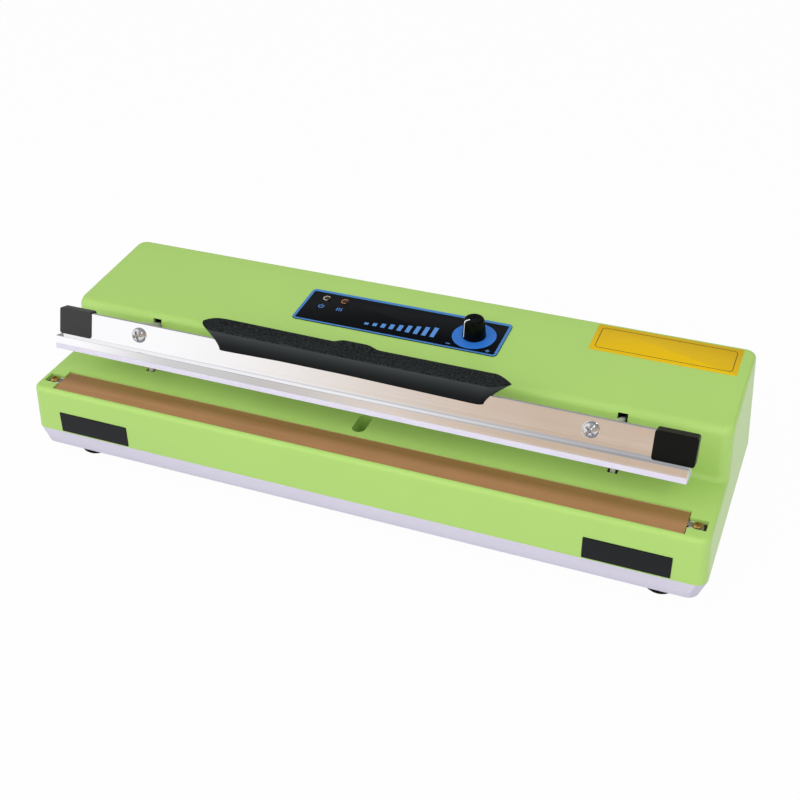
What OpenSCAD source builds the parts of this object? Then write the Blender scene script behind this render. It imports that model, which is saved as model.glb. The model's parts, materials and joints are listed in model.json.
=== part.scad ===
// Table-top impulse sealer: a moulded housing with a heated strip on its front deck, and a hinged
// pressing bar on two sprung arms. Millimetres, +Z up, the front faces -Y, feet stand on z = 0.

/* [Housing] */
// Distance from each end of the tape to the housing's end
end_margin = 16.5; // [14:0.5:24]
// Depth of the housing at the parting line
case_d = 148; // [142:1:160]
// Height of the base tray
base_h = 11.5; // [9:0.5:16]
// How far the feet stand out under the tray
foot_proud = 6.5; // [4:0.5:8]
// Height of the front deck above the parting line
deck_h = 31; // [28:0.5:40]
// Depth of the front deck, from its front edge to the step
deck_depth = 54.8; // [53:0.2:58]
// Height of the step's front edge above the deck
step_h = 32.8; // [31:0.2:40]
// How far the step's face leans back over its height
step_lean = 4.4; // [3:0.2:7]
// Rise of the top from its front edge to its back edge
top_rise = 4.5; // [2:0.5:8]
// Draft of the outer walls, degrees
draft = 3; // [1:0.5:4]
// Wall of the housing
wall = 2.6; // [2:0.1:3]
// Radius of the upright corners in plan
plan_r = 7; // [5:0.5:9]
// Radius of the upper edges
edge_r = 3.2; // [2:0.2:4.5]
// Radius of the step's upper front edge
crest_r = 6; // [5:0.5:8]
// Radius of the hollow corner between deck and step
fillet_r = 4; // [2:0.5:6]
// Inset of the tray's bottom at the ends
tray_inset_x = 4; // [2:0.5:6]
// Inset of the tray's bottom at front and back
tray_inset_y = 1.2; // [0.5:0.1:3]

/* [Deck and heating strip] */
// Length of the release tape
tape_l = 410; // [400:1:410]
// Width of the release tape
tape_w = 20.3; // [18:0.1:21]
// Distance of the tape from the deck's front edge
tape_front = 3.1; // [3:0.1:4]
// Depth of the heating bed's top below the deck
bed_drop = 1.6; // [1.4:0.1:2]
// Depth of the trough that holds the heating bed
trough_depth = 12; // [10:0.5:14]
// Thickness of the insulating strip
strip_t = 0.4; // [0.3:0.05:0.6]
// Width of the heating wire
wire_w = 4; // [2:0.5:8]
// Thickness of the heating wire
wire_t = 0.3; // [0.2:0.05:0.5]
// Thickness of the release tape
tape_t = 0.3; // [0.2:0.05:0.5]
// Length of the terminal pocket beyond the tape
pocket_l = 10.4; // [9.5:0.1:11]
// Width of the terminal pocket
pocket_w = 8.6; // [8:0.1:10]
// Length of the oblong well in the deck
well_l = 18.5; // [14:0.5:20]
// Width of the oblong well
well_w = 8.6; // [7:0.1:10]
// Depth of the oblong well
well_depth = 13; // [8:0.5:15]
// Distance of the well's middle from the deck's front edge
well_y = 36.2; // [36:0.1:37]

/* [Pressing bar] */
// Distance of each end of the bar inside the tape's end
bar_short = 3.1; // [2.5:0.1:7]
// Depth of the bar's foot
foot_d = 16; // [14:0.5:17]
// Height of the bar's foot
bar_foot_h = 4.8; // [4:0.2:6]
// Height of the upright plate above the foot
plate_h = 16.2; // [14:0.2:20]
// Thickness of the upright plate
plate_t = 2.4; // [2:0.1:3]
// Distance of the plate's front from the foot's front
plate_back = 8; // [6:0.2:9]
// Height of the silicone that shows under the foot
silicone_h = 3.5; // [2.5:0.1:5]
// Angle that the bar swings through
press_angle = 18; // [14:0.5:18]
// Distance of the pivot behind the deck's front edge
pivot_back = 95; // [92:0.5:98]
// Depth of the pivot below the deck
pivot_drop = 3.5; // [2:0.1:5]
// Distance of each arm from the housing's end
arm_in = 66; // [64:0.5:72]
// Thickness of an arm
arm_t = 3; // [2.5:0.1:3.5]
// Width of an arm slot
slot_w = 6; // [5:0.1:8]
// Distance of each bar screw from its arm, towards the middle
bar_screw_in = 10.2; // [9.5:0.1:12]
// Length of an end cap
cap_l = 22; // [18:0.5:26]
// Wall of an end cap in front of and behind the plate
cap_wall = 1.2; // [1:0.1:1.6]
// Radius of an end cap's corners
cap_r = 1.6; // [0.5:0.1:1.6]

/* [Handle] */
// Half length of the handle where it grips the plate
grip_foot = 85.8; // [78:0.1:90]
// Half length of the handle between its tips
grip_tip = 99.4; // [94:0.1:110]
// Offset of the handle's middle along the bar
grip_off_x = -2.8; // [-5:0.1:5]
// Height of the handle's lower edge above the bar's foot
grip_low = 10.3; // [9:0.1:12]
// Height of the handle's front ridge above its lower edge
grip_front_h = 13; // [11:0.5:15]
// Height of the handle's back edge above its lower edge
grip_back_h = 16; // [14.5:0.5:18]
// Depth of the handle's top
grip_top_d = 16; // [14:0.5:18]
// Wall of the handle in front of and behind the plate
grip_wall = 3; // [2.5:0.1:4]
// Height of the swelling at the middle of the back edge
grip_swell = 2.1; // [1:0.1:3]

/* [Panel and knob] */
// Width of the control panel
panel_w = 139.4; // [136:0.2:142]
// Depth of the control panel
panel_d = 36; // [34:0.2:38]
// Distance of the panel's front edge from the deck's front edge
panel_y = 85; // [84:0.5:86]
// Thickness of the panel overlay
panel_t = 0.5; // [0.3:0.1:0.8]
// Radius of the panel's corners
panel_r = 3; // [1:0.5:5]
// Place of the knob along the width
knob_x = 50; // [46:0.5:52]
// Place of the knob behind the deck's front edge
knob_y = 101.3; // [100:0.1:103]
// Diameter of the knob at its skirt
knob_d = 13.8; // [13.4:0.1:15]
// Height of the knob
knob_h = 12.4; // [11.6:0.1:15]
// Places of the indicator lamps along the width
lamp_x = [-56.4, -43.4];
// Place of the lamps behind the deck's front edge
lamp_y = 111.6; // [111:0.1:113]
// Diameter of a lamp
lamp_d = 5; // [4:0.1:5.4]

/* [Front pads and feet] */
// Length of a front pad
pad_l = 50; // [40:1:54]
// Height of a front pad
pad_h = 13.8; // [12:0.1:16]
// Distance of each pad's middle from the housing's end
pad_in = 45.8; // [43:0.1:51]
// Gap between a pad and the parting line
pad_gap = 0.8; // [0.6:0.1:2]
// How far a pad stands out of the front face
pad_proud = 0.5; // [0.3:0.1:0.8]
// How deep a pad sits in the front face
pad_sink = 0.9; // [0.6:0.1:1.2]
// Distance of the feet's middles from the housing's ends
foot_in_x = 31.5; // [30:0.5:36]
// Offset of the feet along the width
foot_off_x = 5; // [0:0.5:5]
// Distance of the feet's middles from the housing's front and back
foot_in_y = 12.7; // [12:0.1:16]
// Diameter of a foot
foot_dia = 15; // [12:0.5:16]
// How far the cord inlet stands out of the back wall
inlet_proud = 1.5; // [1:0.1:3]
// Diameter of the cord inlet's hole
inlet_bore = 7; // [6:0.1:8]
// Distance of the cord inlet from the housing's right end
inlet_in = 71.5; // [60:0.5:90]

/* [Hidden] */
$fn = 48;

clear = 0.3; // room left between pieces that move past each other
slip = 0.1; // room left between pieces that are slid together
run = 0.04; // radial room of a turning fit
eps = 0.01;

// Widths that follow the length of the tape
case_w = tape_l + 2 * end_margin;
bar_l = tape_l - 2 * bar_short;
arm_x = case_w / 2 - arm_in;
bar_screw_x = arm_x - bar_screw_in;
pad_x = case_w / 2 - pad_in;

// Levels, from the feet upwards
z_tray = foot_proud;
z_part = z_tray + base_h;
z_deck = z_part + deck_h;
z_step = z_deck + step_h;

// Places from front to back: the box of the whole part is centred on y = 0
y_front = -(case_d + inlet_proud - pad_proud) / 2;
y_edge = y_front + deck_h * tan(draft);
y_step = y_edge + deck_depth;
y_step_top = y_step + step_lean;
y_back_part = y_front + case_d;
top_slope = top_rise / (case_d - 2 * deck_h * tan(draft) - deck_depth - step_lean - step_h * tan(draft));
top_tilt = atan(top_slope);
function top_z(y) = z_step + (y - y_step_top) * top_slope;
function lean_in(z) = (z - z_part) * tan(draft);
function half_w(z) = case_w / 2 - lean_in(z);
function front_at(z) = y_front + lean_in(z);
function back_at(z) = y_back_part - lean_in(z);
step_slope = step_lean / step_h;

// Heating strip stack
tape_y = y_edge + tape_front + tape_w / 2;
z_trough = z_deck - trough_depth;
z_bed = z_deck - bed_drop;
z_strip = z_bed + strip_t;
z_wire = z_strip + wire_t;
z_tape = z_wire + tape_t;
trough_l = tape_l + 1;
trough_w = tape_w + 0.4;
terminal_x = trough_l / 2 + pocket_l / 2;
terminal_plate_t = 1.2;
terminal_w = pocket_w - 0.6;
terminal_l = pocket_l - 1;
terminal_screw_r = 1.5;

// Pivot and pressed pose: the bar's pieces are drawn pressed down and turned back to rest
y_pivot = y_edge + pivot_back;
z_pivot = z_deck - pivot_drop;
pin_r = 3;
bush_r = 5;
boss_r = 9;
z_sil = z_tape + clear;
z_foot = z_sil + silicone_h;
z_plate = z_foot + bar_foot_h;
z_plate_top = z_plate + plate_h;
y_foot = tape_y - foot_d / 2;
y_plate = y_foot + plate_back;
groove_w = foot_d - 3.4;
groove_h = 2.6;
tab_y = y_plate + plate_t;
bar_screw_z = z_plate + plate_h * 0.54;
bar_screw_r = 2;
tab_h = 11;

// Arm slots and arm webs
slot_front = 13.6; // how far a slot runs forward on the deck
slot_top = 30.2; // height of a slot on the step
web_y = y_step - slot_front + 3;
web_drop = 19; // depth of an arm's web below the deck when pressed
heel_drop = boss_r; // flat heel under the pivot that works the switch
heel_l = 15;
tail_rest = [22, -4]; // spring hole from the pivot, with the bar at rest
lug_r = 2.8;
hook_hole_r = 1.4;

// Clevis brackets
ear_gap = 13;
ear_t = 2;
ear_w = 26;
clevis_t = 2;
z_floor = z_tray + wall;
clevis_front = -30;
clevis_back = 30;
anchor_h = 10.8;

// Springs: close coils on a straight axis between two hooks
spring_r = 3.4;
spring_wire_r = 0.6;
spring_coils = 8;
function pressed(v) =
  [v[0] * cos(press_angle) - v[1] * sin(press_angle), v[1] * cos(press_angle) + v[0] * sin(press_angle)];
tail_hole = pressed(tail_rest);
spring_y = y_pivot + tail_rest[0];
spring_top = z_pivot + tail_rest[1];
spring_low = z_floor + clevis_t + anchor_h - lug_r;

// Switch: the plunger stands under the arm's heel, just in front of the pivot
plunger_y = y_pivot - 6.4;
plunger_r = 1.6;
heel_rest = -heel_drop / cos(press_angle) + 6.4 * tan(press_angle);
plunger_top = z_pivot + heel_rest - clear;
plunger_h = 6;
switch_w = arm_x + plunger_r + 2 - (arm_x - ear_gap / 2);
switch_l = 20;
switch_h = 16;
z_switch = plunger_top - 3.2;

// Potentiometer under the top
pot_r = 8.2;
pot_h = 8;
bushing_r = 3.5;
spindle_r = 3;
nut_h = 2;
board_drop = wall + pot_h + 1;
board_t = 1.6;
board_x0 = -72;
board_x1 = 64;
board_front = panel_y + 2;
board_d = 32;

// Transformer
core_w = 66;
core_d = 40;
core_h = 55;
core_in = 124.5; // distance of the core's middle from the housing's left end
core_room = 2; // room left between the winding and the back wall
winding_bulge = 9;
core_x = core_in - case_w / 2;
core_y = back_at(z_floor + core_h) - wall - core_room - winding_bulge - core_d / 2;
strap_t = 1.2;
strap_foot = 12;
strap_screw_x = core_w / 2 + strap_t + 7;

// Fasteners
frame_screw_r = 2;
frame_head_r = 3.8;
frame_head_h = 2.4;
nut_across = 7;
nut_t = 3;
bar_head_r = 4.6;
bar_head_h = 3;
board_screw_l = 6;
board_head_r = 2.8;
board_head_h = 1.6;
terminal_head_r = 2.9;
terminal_head_h = 1.5;
wire_eye_r = 3.2;

// Vent slots in the tray, in two rows beside the transformer
vent_l = 22;
vent_w = 3;
vent_pitch = 9;
vent_count = 6;
vent_row_gap = 8;
vent_middle = -core_x - 20;

// Parts on the circuit board: size, and place from the board's front and the middle
relay = [19, 16, 15];
relay_x = -38;
relay_y = 8;
capacitor_d = 10;
capacitor_h = 14;
capacitor_x = 16;
capacitor_y = 16;
triac = [10, 4.5, 16];
triac_x = 32;
triac_y = 10;

// Screw bosses between casing and tray
boss_in = 18.5; // distance of the outer bosses from the housing's ends
boss_front = 36; // distance of the front row from the deck's front edge
boss_rear = case_d - 33; // the outer rear bosses stand clear of the feet
boss_x = case_w / 2 - boss_in;
boss_spots = [
  [-boss_x, boss_front], [boss_x, boss_front], [-boss_x, boss_rear], [boss_x, boss_rear], [0, case_d - 17],
  [-70, boss_front], [70, boss_front]
];
screw_boss_r = 4.5;
pilot_r = 1.4;
casing_screw_r = 1.5;

module mirror_pair() {
  children();
  mirror([1, 0, 0]) children();
}

// Stands children on the sloping top, measured from the deck's front edge
module on_top(x, y) {
  translate([x, y_edge + y, top_z(y_edge + y)]) rotate([top_tilt, 0, 0]) children();
}

// Turns the pressed bar back to its rest
module at_rest() {
  translate([0, y_pivot, z_pivot]) rotate([-press_angle, 0, 0]) translate([0, -y_pivot, -z_pivot]) children();
}

module along_y(y0, y1, r) {
  translate([0, y0, 0]) rotate([-90, 0, 0]) cylinder(r = r, h = y1 - y0);
}

module along_x(x0, x1, r) {
  translate([x0, 0, 0]) rotate([0, 90, 0]) cylinder(r = r, h = x1 - x0);
}

// Flat outline with round corners, its front edge on y = 0
module round_plate(w, d, r) {
  translate([-w / 2 + r, 0]) square([w - 2 * r, d]);
  translate([-w / 2, r]) square([w, d - 2 * r]);
  for (x = [r - w / 2, w / 2 - r]) for (y = [r, d - r]) translate([x, y]) circle(r);
}

module oblong(l, w, h) {
  translate([0, -(l - w) / 2, 0]) cylinder(d = w, h = h);
  translate([0, (l - w) / 2, 0]) cylinder(d = w, h = h);
  translate([-w / 2, -(l - w) / 2, 0]) cube([w, l - w, h]);
}

// Pan head with its shank along -Z, the head's underside on z = 0
module pan_screw(r, l, head_r, head_h) {
  difference() {
    union() {
      translate([0, 0, -l]) cylinder(r = r, h = l + eps);
      cylinder(r = head_r, h = head_h * 0.45);
      translate([0, 0, head_h * 0.45]) cylinder(r1 = head_r, r2 = head_r * 0.6, h = head_h * 0.55);
    }
    for (a = [0, 90]) rotate([0, 0, a])
      translate([-head_r * 0.55, -head_r * 0.11, head_h * 0.55]) cube([head_r * 1.1, head_r * 0.22, head_h]);
  }
}

module hex_nut(bore_r, across, h) {
  difference() {
    cylinder(d = across / cos(30), h = h, $fn = 6);
    translate([0, 0, -1]) cylinder(r = bore_r, h = h + 2);
  }
}

// Tube swept along points: each ring lies across the path, its first spoke kept level
function unit(v) = v / norm(v);
function heading(p, i) = unit(p[min(i + 1, len(p) - 1)] - p[max(i - 1, 0)]);
function spoke(d) = abs(d[2]) > 0.98 ? [1, 0, 0] : unit(cross(d, [0, 0, 1]));
function sweep_points(p, r, sides) = [
  for (i = [0:len(p) - 1])
    let (d = heading(p, i), a = unit(cross(cross(d, spoke(d)), d)), b = cross(d, a))
      for (k = [0:sides - 1]) p[i] + r * (a * cos(360 * k / sides) + b * sin(360 * k / sides))
];
module sweep(p, r, sides) {
  n = len(p);
  polyhedron(
    points = sweep_points(p, r, sides),
    faces = concat(
      [[for (k = [0:sides - 1]) k]],
      [[for (k = [0:sides - 1]) (n - 1) * sides + sides - 1 - k]],
      [for (i = [0:n - 2]) for (k = [0:sides - 1])
        let (a = i * sides + k, b = i * sides + (k + 1) % sides)
          each [[a, a + sides, b], [b, a + sides, b + sides]]]
    )
  );
}

// Side view of the shell, set in by x and y margins; it runs below the parting line
function crest_arc(corner, lean, r) =
  let (
    n1 = [-cos(lean), sin(lean)],
    n2 = [-sin(top_tilt), cos(top_tilt)],
    mid = corner - r * (n1 + n2) / (1 + n1 * n2)
  ) [for (k = [0:4]) let (t = lean + (90 - top_tilt - lean) * k / 4) mid + r * [-cos(t), sin(t)]];

function shell_profile(in_y, in_z, in_top, hollow_r, top_r) =
  let (
    z0 = z_part - 12,
    zd = z_deck - in_z,
    foot = [y_step + in_y - in_z * step_slope, zd],
    lean = atan(step_slope),
    cut = hollow_r * tan((90 - lean) / 2),
    mid = [foot[0] - cut, zd + hollow_r]
  ) concat(
    [[front_at(z0) + in_y, z0], [front_at(zd) + in_y, zd]],
    [for (k = [0:5]) mid + hollow_r * [sin((90 - lean) * k / 5), -cos((90 - lean) * k / 5)]],
    let (y = y_step_top + in_y - in_top * step_slope) crest_arc([y, top_z(y) - in_top], lean, top_r),
    [let (y = back_at(z_step + top_rise - in_top) - in_y) [y, top_z(y) - in_top]],
    [[back_at(z0) - in_y, z0]]
  );

// The same side view carried across the width, with drafted ends
module shell_block(in_x, in_y, in_z, in_top, hollow_r, top_r) {
  p = shell_profile(in_y, in_z, in_top, hollow_r, top_r);
  n = len(p);
  polyhedron(
    points = [for (s = [-1, 1]) for (q = p) [s * (half_w(q[1]) - in_x), q[0], q[1]]],
    faces = concat(
      [[for (k = [0:n - 1]) n - 1 - k]],
      [[for (k = [0:n - 1]) n + k]],
      [for (k = [0:n - 1]) let (m = (k + 1) % n) [k, m, m + n, k + n]]
    )
  );
}

// Round disc that rounds the shell's edges and corners
module edge_tool() {
  rotate_extrude($fn = 24) {
    translate([plan_r - edge_r, 0]) circle(edge_r, $fn = 16);
    translate([0, -edge_r]) square([plan_r - edge_r, 2 * edge_r]);
  }
}

module shell_outside() {
  difference() {
    minkowski() {
      shell_block(plan_r, plan_r, edge_r, edge_r + (plan_r - edge_r) * top_slope, fillet_r + edge_r,
        crest_r - edge_r);
      edge_tool();
    }
    translate([-case_w, -case_d, z_part - 40]) cube([2 * case_w, 2 * case_d, 40]);
  }
}

// Room inside the shell: the side view one wall thinner, its ends cut to the draft
module shell_hollow() {
  difference() {
    translate([-case_w / 2, 0, 0]) rotate([90, 0, 90]) linear_extrude(case_w)
      polygon(shell_profile(wall, wall, wall, fillet_r + wall, crest_r - wall));
    mirror_pair() translate([half_w(z_part) - wall, -case_d, z_part]) rotate([0, -draft, 0])
      translate([0, 0, -40]) cube([40, 2 * case_d, 140]);
  }
}

module boss_at(spot, z0, z1, r) {
  translate([spot[0], y_edge + spot[1], z0]) cylinder(r = r, h = z1 - z0);
}

function boss_ceiling(spot) = spot[1] < deck_depth ? z_deck - wall / 2 : top_z(y_edge + spot[1]) - wall / 2;

module upper_casing() {
  color("yellowgreen") difference() {
    union() {
      difference() {
        shell_outside();
        shell_hollow();
      }
      // trough and terminal pockets under the deck
      translate([-trough_l / 2 - wall, tape_y - trough_w / 2 - 1.6, z_trough - wall])
        cube([trough_l + 2 * wall, trough_w + 3.2, trough_depth + wall / 2]);
      mirror_pair() translate([trough_l / 2, tape_y - pocket_w / 2 - wall, z_trough - wall])
        cube([pocket_l + 1, pocket_w + 2 * wall, trough_depth + wall / 2]);
      // wall of the oblong well
      translate([0, y_edge + well_y, z_deck - well_depth - wall])
        oblong(well_l + 2 * wall, well_w + 2 * wall, well_depth + wall / 2);
      for (s = boss_spots) boss_at(s, z_part, boss_ceiling(s), screw_boss_r);
      // posts that the circuit board hangs on
      for (x = [board_x0 + 4, board_x1 - 4]) for (y = [board_front + 4, board_front + board_d - 4])
        on_top(x, y) translate([0, 0, -board_drop]) cylinder(r = 3, h = board_drop - wall / 2);
    }
    for (s = boss_spots) boss_at(s, z_part - 1, z_part + 14, pilot_r);
    for (x = [board_x0 + 4, board_x1 - 4]) for (y = [board_front + 4, board_front + board_d - 4])
      on_top(x, y) translate([0, 0, -board_drop - 1]) cylinder(r = pilot_r, h = 7);
    translate([-trough_l / 2, tape_y - trough_w / 2, z_trough]) cube([trough_l, trough_w, trough_depth + 10]);
    mirror_pair() translate([trough_l / 2 - eps, tape_y - pocket_w / 2, z_trough])
      cube([pocket_l + eps, pocket_w, trough_depth + 10]);
    // holes for the leads in the pockets' floors
    mirror_pair() translate([terminal_x, tape_y, z_trough - 2 * wall]) cylinder(r = 2, h = 3 * wall);
    translate([0, y_edge + well_y, z_deck - well_depth]) oblong(well_l, well_w, well_depth + 10);
    mirror_pair() translate([arm_x - slot_w / 2, y_step - slot_front, z_deck - 8])
      cube([slot_w, slot_front + 24, slot_top + 8]);
    mirror_pair() front_pad_seat(2, pad_sink + 0.05, 0.15);
    on_top(knob_x, knob_y) translate([0, 0, -wall - 5]) cylinder(r = bushing_r + slip, h = wall + 10);
    for (x = lamp_x) on_top(x, lamp_y) translate([0, 0, -wall - 5]) cylinder(d = lamp_d + 0.2, h = wall + 10);
    inlet_frame() translate([0, 0, -wall - 5]) cylinder(r = inlet_bore / 2 + 2.6, h = wall + 10);
  }
}

// Seat of a right-hand pad, leaning with the front face
module front_pad_seat(out, depth, gap) {
  z0 = z_part + pad_gap;
  translate([pad_x, front_at(z0), z0]) rotate([-draft, 0, 0])
    translate([-pad_l / 2 - gap, -out, -gap]) cube([pad_l + 2 * gap, out + depth, pad_h + 2 * gap]);
}

module base_outline(in_x, in_y, z) {
  for (sx = [-1, 1]) for (y = [y_front + in_y + plan_r, y_back_part - in_y - plan_r])
    translate([sx * (case_w / 2 - in_x - plan_r), y, z]) cylinder(r = plan_r, h = eps, $fn = 32);
}

module base_tray() {
  color("lavender") difference() {
    union() {
      difference() {
        hull() {
          base_outline(tray_inset_x, tray_inset_y, z_tray);
          base_outline(0, 0, z_part - eps);
        }
        hull() {
          base_outline(tray_inset_x + wall, tray_inset_y + wall, z_floor);
          base_outline(wall, wall, z_part + 1);
        }
      }
      for (s = boss_spots) boss_at(s, z_floor - wall / 2, z_part, screw_boss_r);
    }
    for (s = boss_spots) {
      boss_at(s, z_tray - 1, z_part + 1, casing_screw_r + 0.2);
      boss_at(s, z_tray - 1, z_tray + 4, 3.2);
    }
    for (c = foot_spots()) translate([c[0], c[1], z_tray - 1]) cylinder(r = 2.2, h = wall + 2);
    for (s = vent_spots()) translate([s[0], s[1], z_tray - 1]) oblong(vent_l, vent_w, wall + 2);
    mirror_pair() for (y = clevis_bolts()) translate([arm_x, y, z_tray - 1])
      cylinder(r = frame_screw_r + slip, h = wall + 2);
    for (s = [-1, 1]) translate([core_x + s * strap_screw_x, core_y, z_tray - 1])
      cylinder(r = frame_screw_r + slip, h = wall + 2);
  }
}

function vent_spots() = [
  for (k = [0:vent_count - 1]) for (row = [-1, 1])
    [vent_middle + (k - (vent_count - 1) / 2) * vent_pitch, core_y + row * (vent_l + vent_row_gap) / 2]
];

function foot_spots() = [
  for (sx = [-1, 1]) for (y = [y_front + foot_in_y, y_back_part - foot_in_y])
    [foot_off_x + sx * (case_w / 2 - foot_in_x), y]
];

// Rubber foot with a domed rim and a plug that snaps into the tray
module rubber_foot() {
  rotate_extrude() polygon([
    [0, 0], [foot_dia / 2 - 1.2, 0], [foot_dia / 2, 1.2], [foot_dia / 2, foot_proud], [2.1, foot_proud],
    [2.1, foot_proud + wall], [3, foot_proud + wall + 0.8],
    [1.6, foot_proud + wall + 3], [0, foot_proud + wall + 3]
  ]);
}

module rubber_feet() {
  color([0.08, 0.08, 0.09]) for (c = foot_spots()) translate([c[0], c[1], 0]) rubber_foot();
}

module casing_screws() {
  color("silver") for (s = boss_spots) translate([s[0], y_edge + s[1], z_tray + 4])
    mirror([0, 0, 1]) pan_screw(pilot_r, base_h + 6, 3, 2);
}

module front_pad_right() {
  color([0.15, 0.15, 0.16]) front_pad_seat(pad_proud, pad_sink, 0);
}

module front_pad_left() {
  mirror([1, 0, 0]) front_pad_right();
}

module heating_bed() {
  color("gainsboro") translate([-tape_l / 2, tape_y - tape_w / 2, z_trough])
    cube([tape_l, tape_w, z_bed - z_trough]);
}

module insulating_strip() {
  color("wheat") translate([-tape_l / 2, tape_y - tape_w / 2 + 0.2, z_bed])
    cube([tape_l, tape_w - 0.4, strip_t]);
}

// Flat wire with an eye at each end
module heating_wire() {
  color("dimgray") difference() {
    union() {
      translate([-terminal_x, tape_y - wire_w / 2, z_strip]) cube([2 * terminal_x, wire_w, wire_t]);
      mirror_pair() translate([terminal_x, tape_y, z_strip]) cylinder(r = wire_eye_r, h = wire_t);
    }
    mirror_pair() translate([terminal_x, tape_y, z_strip - 1]) cylinder(r = terminal_screw_r + slip, h = 3);
  }
}

// Tape laid over the wire: level at its edges, lifted along the middle
module release_tape() {
  w = tape_w / 2;
  m = wire_w / 2;
  color("peru") translate([-tape_l / 2, tape_y, z_strip]) rotate([90, 0, 90]) linear_extrude(tape_l)
    polygon([[-w, 0], [-m, wire_t], [m, wire_t], [w, 0], [w, tape_t], [m, wire_t + tape_t],
      [-m, wire_t + tape_t], [-w, tape_t]]);
}

module terminal_blocks() {
  color("saddlebrown") mirror_pair() difference() {
    translate([terminal_x - terminal_l / 2, tape_y - terminal_w / 2, z_trough])
      cube([terminal_l, terminal_w, z_strip - terminal_plate_t - z_trough]);
    translate([terminal_x, tape_y, z_trough - 1]) cylinder(r = terminal_screw_r + slip, h = trough_depth);
  }
}

module terminal_right() {
  color("silver") difference() {
    translate([terminal_x - terminal_l / 2, tape_y - terminal_w / 2, z_strip - terminal_plate_t])
      cube([terminal_l, terminal_w, terminal_plate_t]);
    translate([terminal_x, tape_y, z_strip - 3]) cylinder(r = terminal_screw_r + slip, h = 6);
  }
}

module terminal_left() {
  mirror([1, 0, 0]) terminal_right();
}

module terminal_screws() {
  color("silver") mirror_pair() translate([terminal_x, tape_y, z_wire])
    pan_screw(terminal_screw_r, trough_depth - 4, terminal_head_r, terminal_head_h);
}

module control_panel() {
  color([0.1, 0.1, 0.12]) difference() {
    on_top(0, panel_y) translate([0, 0, 0.02]) linear_extrude(panel_t - 0.02)
      round_plate(panel_w, panel_d, panel_r);
    on_top(knob_x, knob_y) translate([0, 0, -5]) cylinder(r = bushing_r + slip, h = 10);
    for (x = lamp_x) on_top(x, lamp_y) translate([0, 0, -5]) cylinder(d = lamp_d + 0.2, h = 10);
  }
}

// Lamp with a domed end in the panel, a collar under the top and two legs to the board
module lamp(x) {
  on_top(x, lamp_y) {
    translate([0, 0, -wall]) cylinder(d = lamp_d, h = wall + panel_t);
    translate([0, 0, panel_t]) intersection() {
      translate([0, 0, -lamp_d / 2]) sphere(d = lamp_d * 1.415);
      cylinder(d = lamp_d, h = lamp_d);
    }
    translate([0, 0, -wall - 1.2]) cylinder(d = lamp_d + 1, h = 1.2);
    for (s = [-1, 1]) translate([s * 1.27, 0, -board_drop])
      cylinder(r = 0.3, h = board_drop - wall - 1.2 + eps);
  }
}

module power_lamp() {
  color("tomato") lamp(lamp_x[0]);
}

module work_lamp() {
  color("orange") lamp(lamp_x[1]);
}

module circuit_board() {
  color("darkgreen") difference() {
    on_top(0, board_front) translate([board_x0, 0, -board_drop - board_t])
      cube([board_x1 - board_x0, board_d, board_t]);
    for (x = [board_x0 + 4, board_x1 - 4]) for (y = [board_front + 4, board_front + board_d - 4])
      on_top(x, y) translate([0, 0, -board_drop - 10]) cylinder(r = 1.7, h = 12);
  }
}

module board_screws() {
  color("silver")
    for (x = [board_x0 + 4, board_x1 - 4]) for (y = [board_front + 4, board_front + board_d - 4])
      on_top(x, y) translate([0, 0, -board_drop - board_t]) mirror([0, 0, 1])
        pan_screw(pilot_r, board_screw_l, board_head_r, board_head_h);
}

// Relay, timing capacitor and triac under the board
module board_components() {
  color("steelblue") on_top(0, board_front) translate([0, 0, -board_drop - board_t]) {
    translate([relay_x, relay_y, -relay[2]]) cube(relay);
    translate([capacitor_x, capacitor_y, -capacitor_h]) cylinder(d = capacitor_d, h = capacitor_h);
    translate([triac_x, triac_y, -triac[2]]) cube(triac);
  }
}

module potentiometer() {
  color("darkgray") on_top(knob_x, knob_y) difference() {
    union() {
      translate([0, 0, -wall - pot_h]) cylinder(r = pot_r, h = pot_h);
      translate([0, 0, -wall - eps]) cylinder(r = bushing_r, h = wall + panel_t + nut_h + 0.6);
      translate([-4, 0, -wall - pot_h - 1]) cube([8, 5, 1 + eps]);
    }
    translate([0, 0, -wall - pot_h + 2]) cylinder(r = spindle_r + run, h = pot_h + wall + 10);
  }
}

module potentiometer_nut() {
  color("silver") on_top(knob_x, knob_y) translate([0, 0, panel_t]) hex_nut(bushing_r + slip / 2, 9.6, nut_h);
}

module knob_spindle() {
  color("silver") on_top(knob_x, knob_y) translate([0, 0, -wall - pot_h + 2.3])
    cylinder(r = spindle_r, h = wall + pot_h - 2.3 + panel_t + knob_h - 2.4);
}

// Knob: a slightly tapered cap with a rounded top, hollow round the nut
module timer_knob() {
  r0 = knob_d / 2;
  r1 = r0 - 0.7;
  e = 1.4;
  lift = panel_t + 0.5;
  color([0.06, 0.06, 0.07]) on_top(knob_x, knob_y) difference() {
    rotate_extrude() {
      polygon([[0, lift], [r0, lift], [r1 + 0.1, knob_h - e], [r1 - e, knob_h], [0, knob_h]]);
      translate([r1 - e + 0.1, knob_h - e]) circle(e);
    }
    translate([0, 0, lift - 1]) cylinder(r = 5.9, h = nut_h + 2.3);
    cylinder(r = spindle_r + slip / 4, h = panel_t + knob_h - 2.2);
  }
}

// Laminated core with two windows, lying with its stack along the depth
module transformer_core() {
  limb = core_w / 6;
  color("dimgray") translate([core_x, core_y, z_floor]) difference() {
    translate([-core_w / 2, -core_d / 2, 0]) cube([core_w, core_d, core_h]);
    for (s = [-1, 1])
      translate([s * core_w / 4 - limb / 2 * (s + 1) / 2 - limb / 2 * (1 - s) / 2, -core_d, limb])
      cube([limb, 2 * core_d, core_h - 2 * limb]);
  }
}

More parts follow.
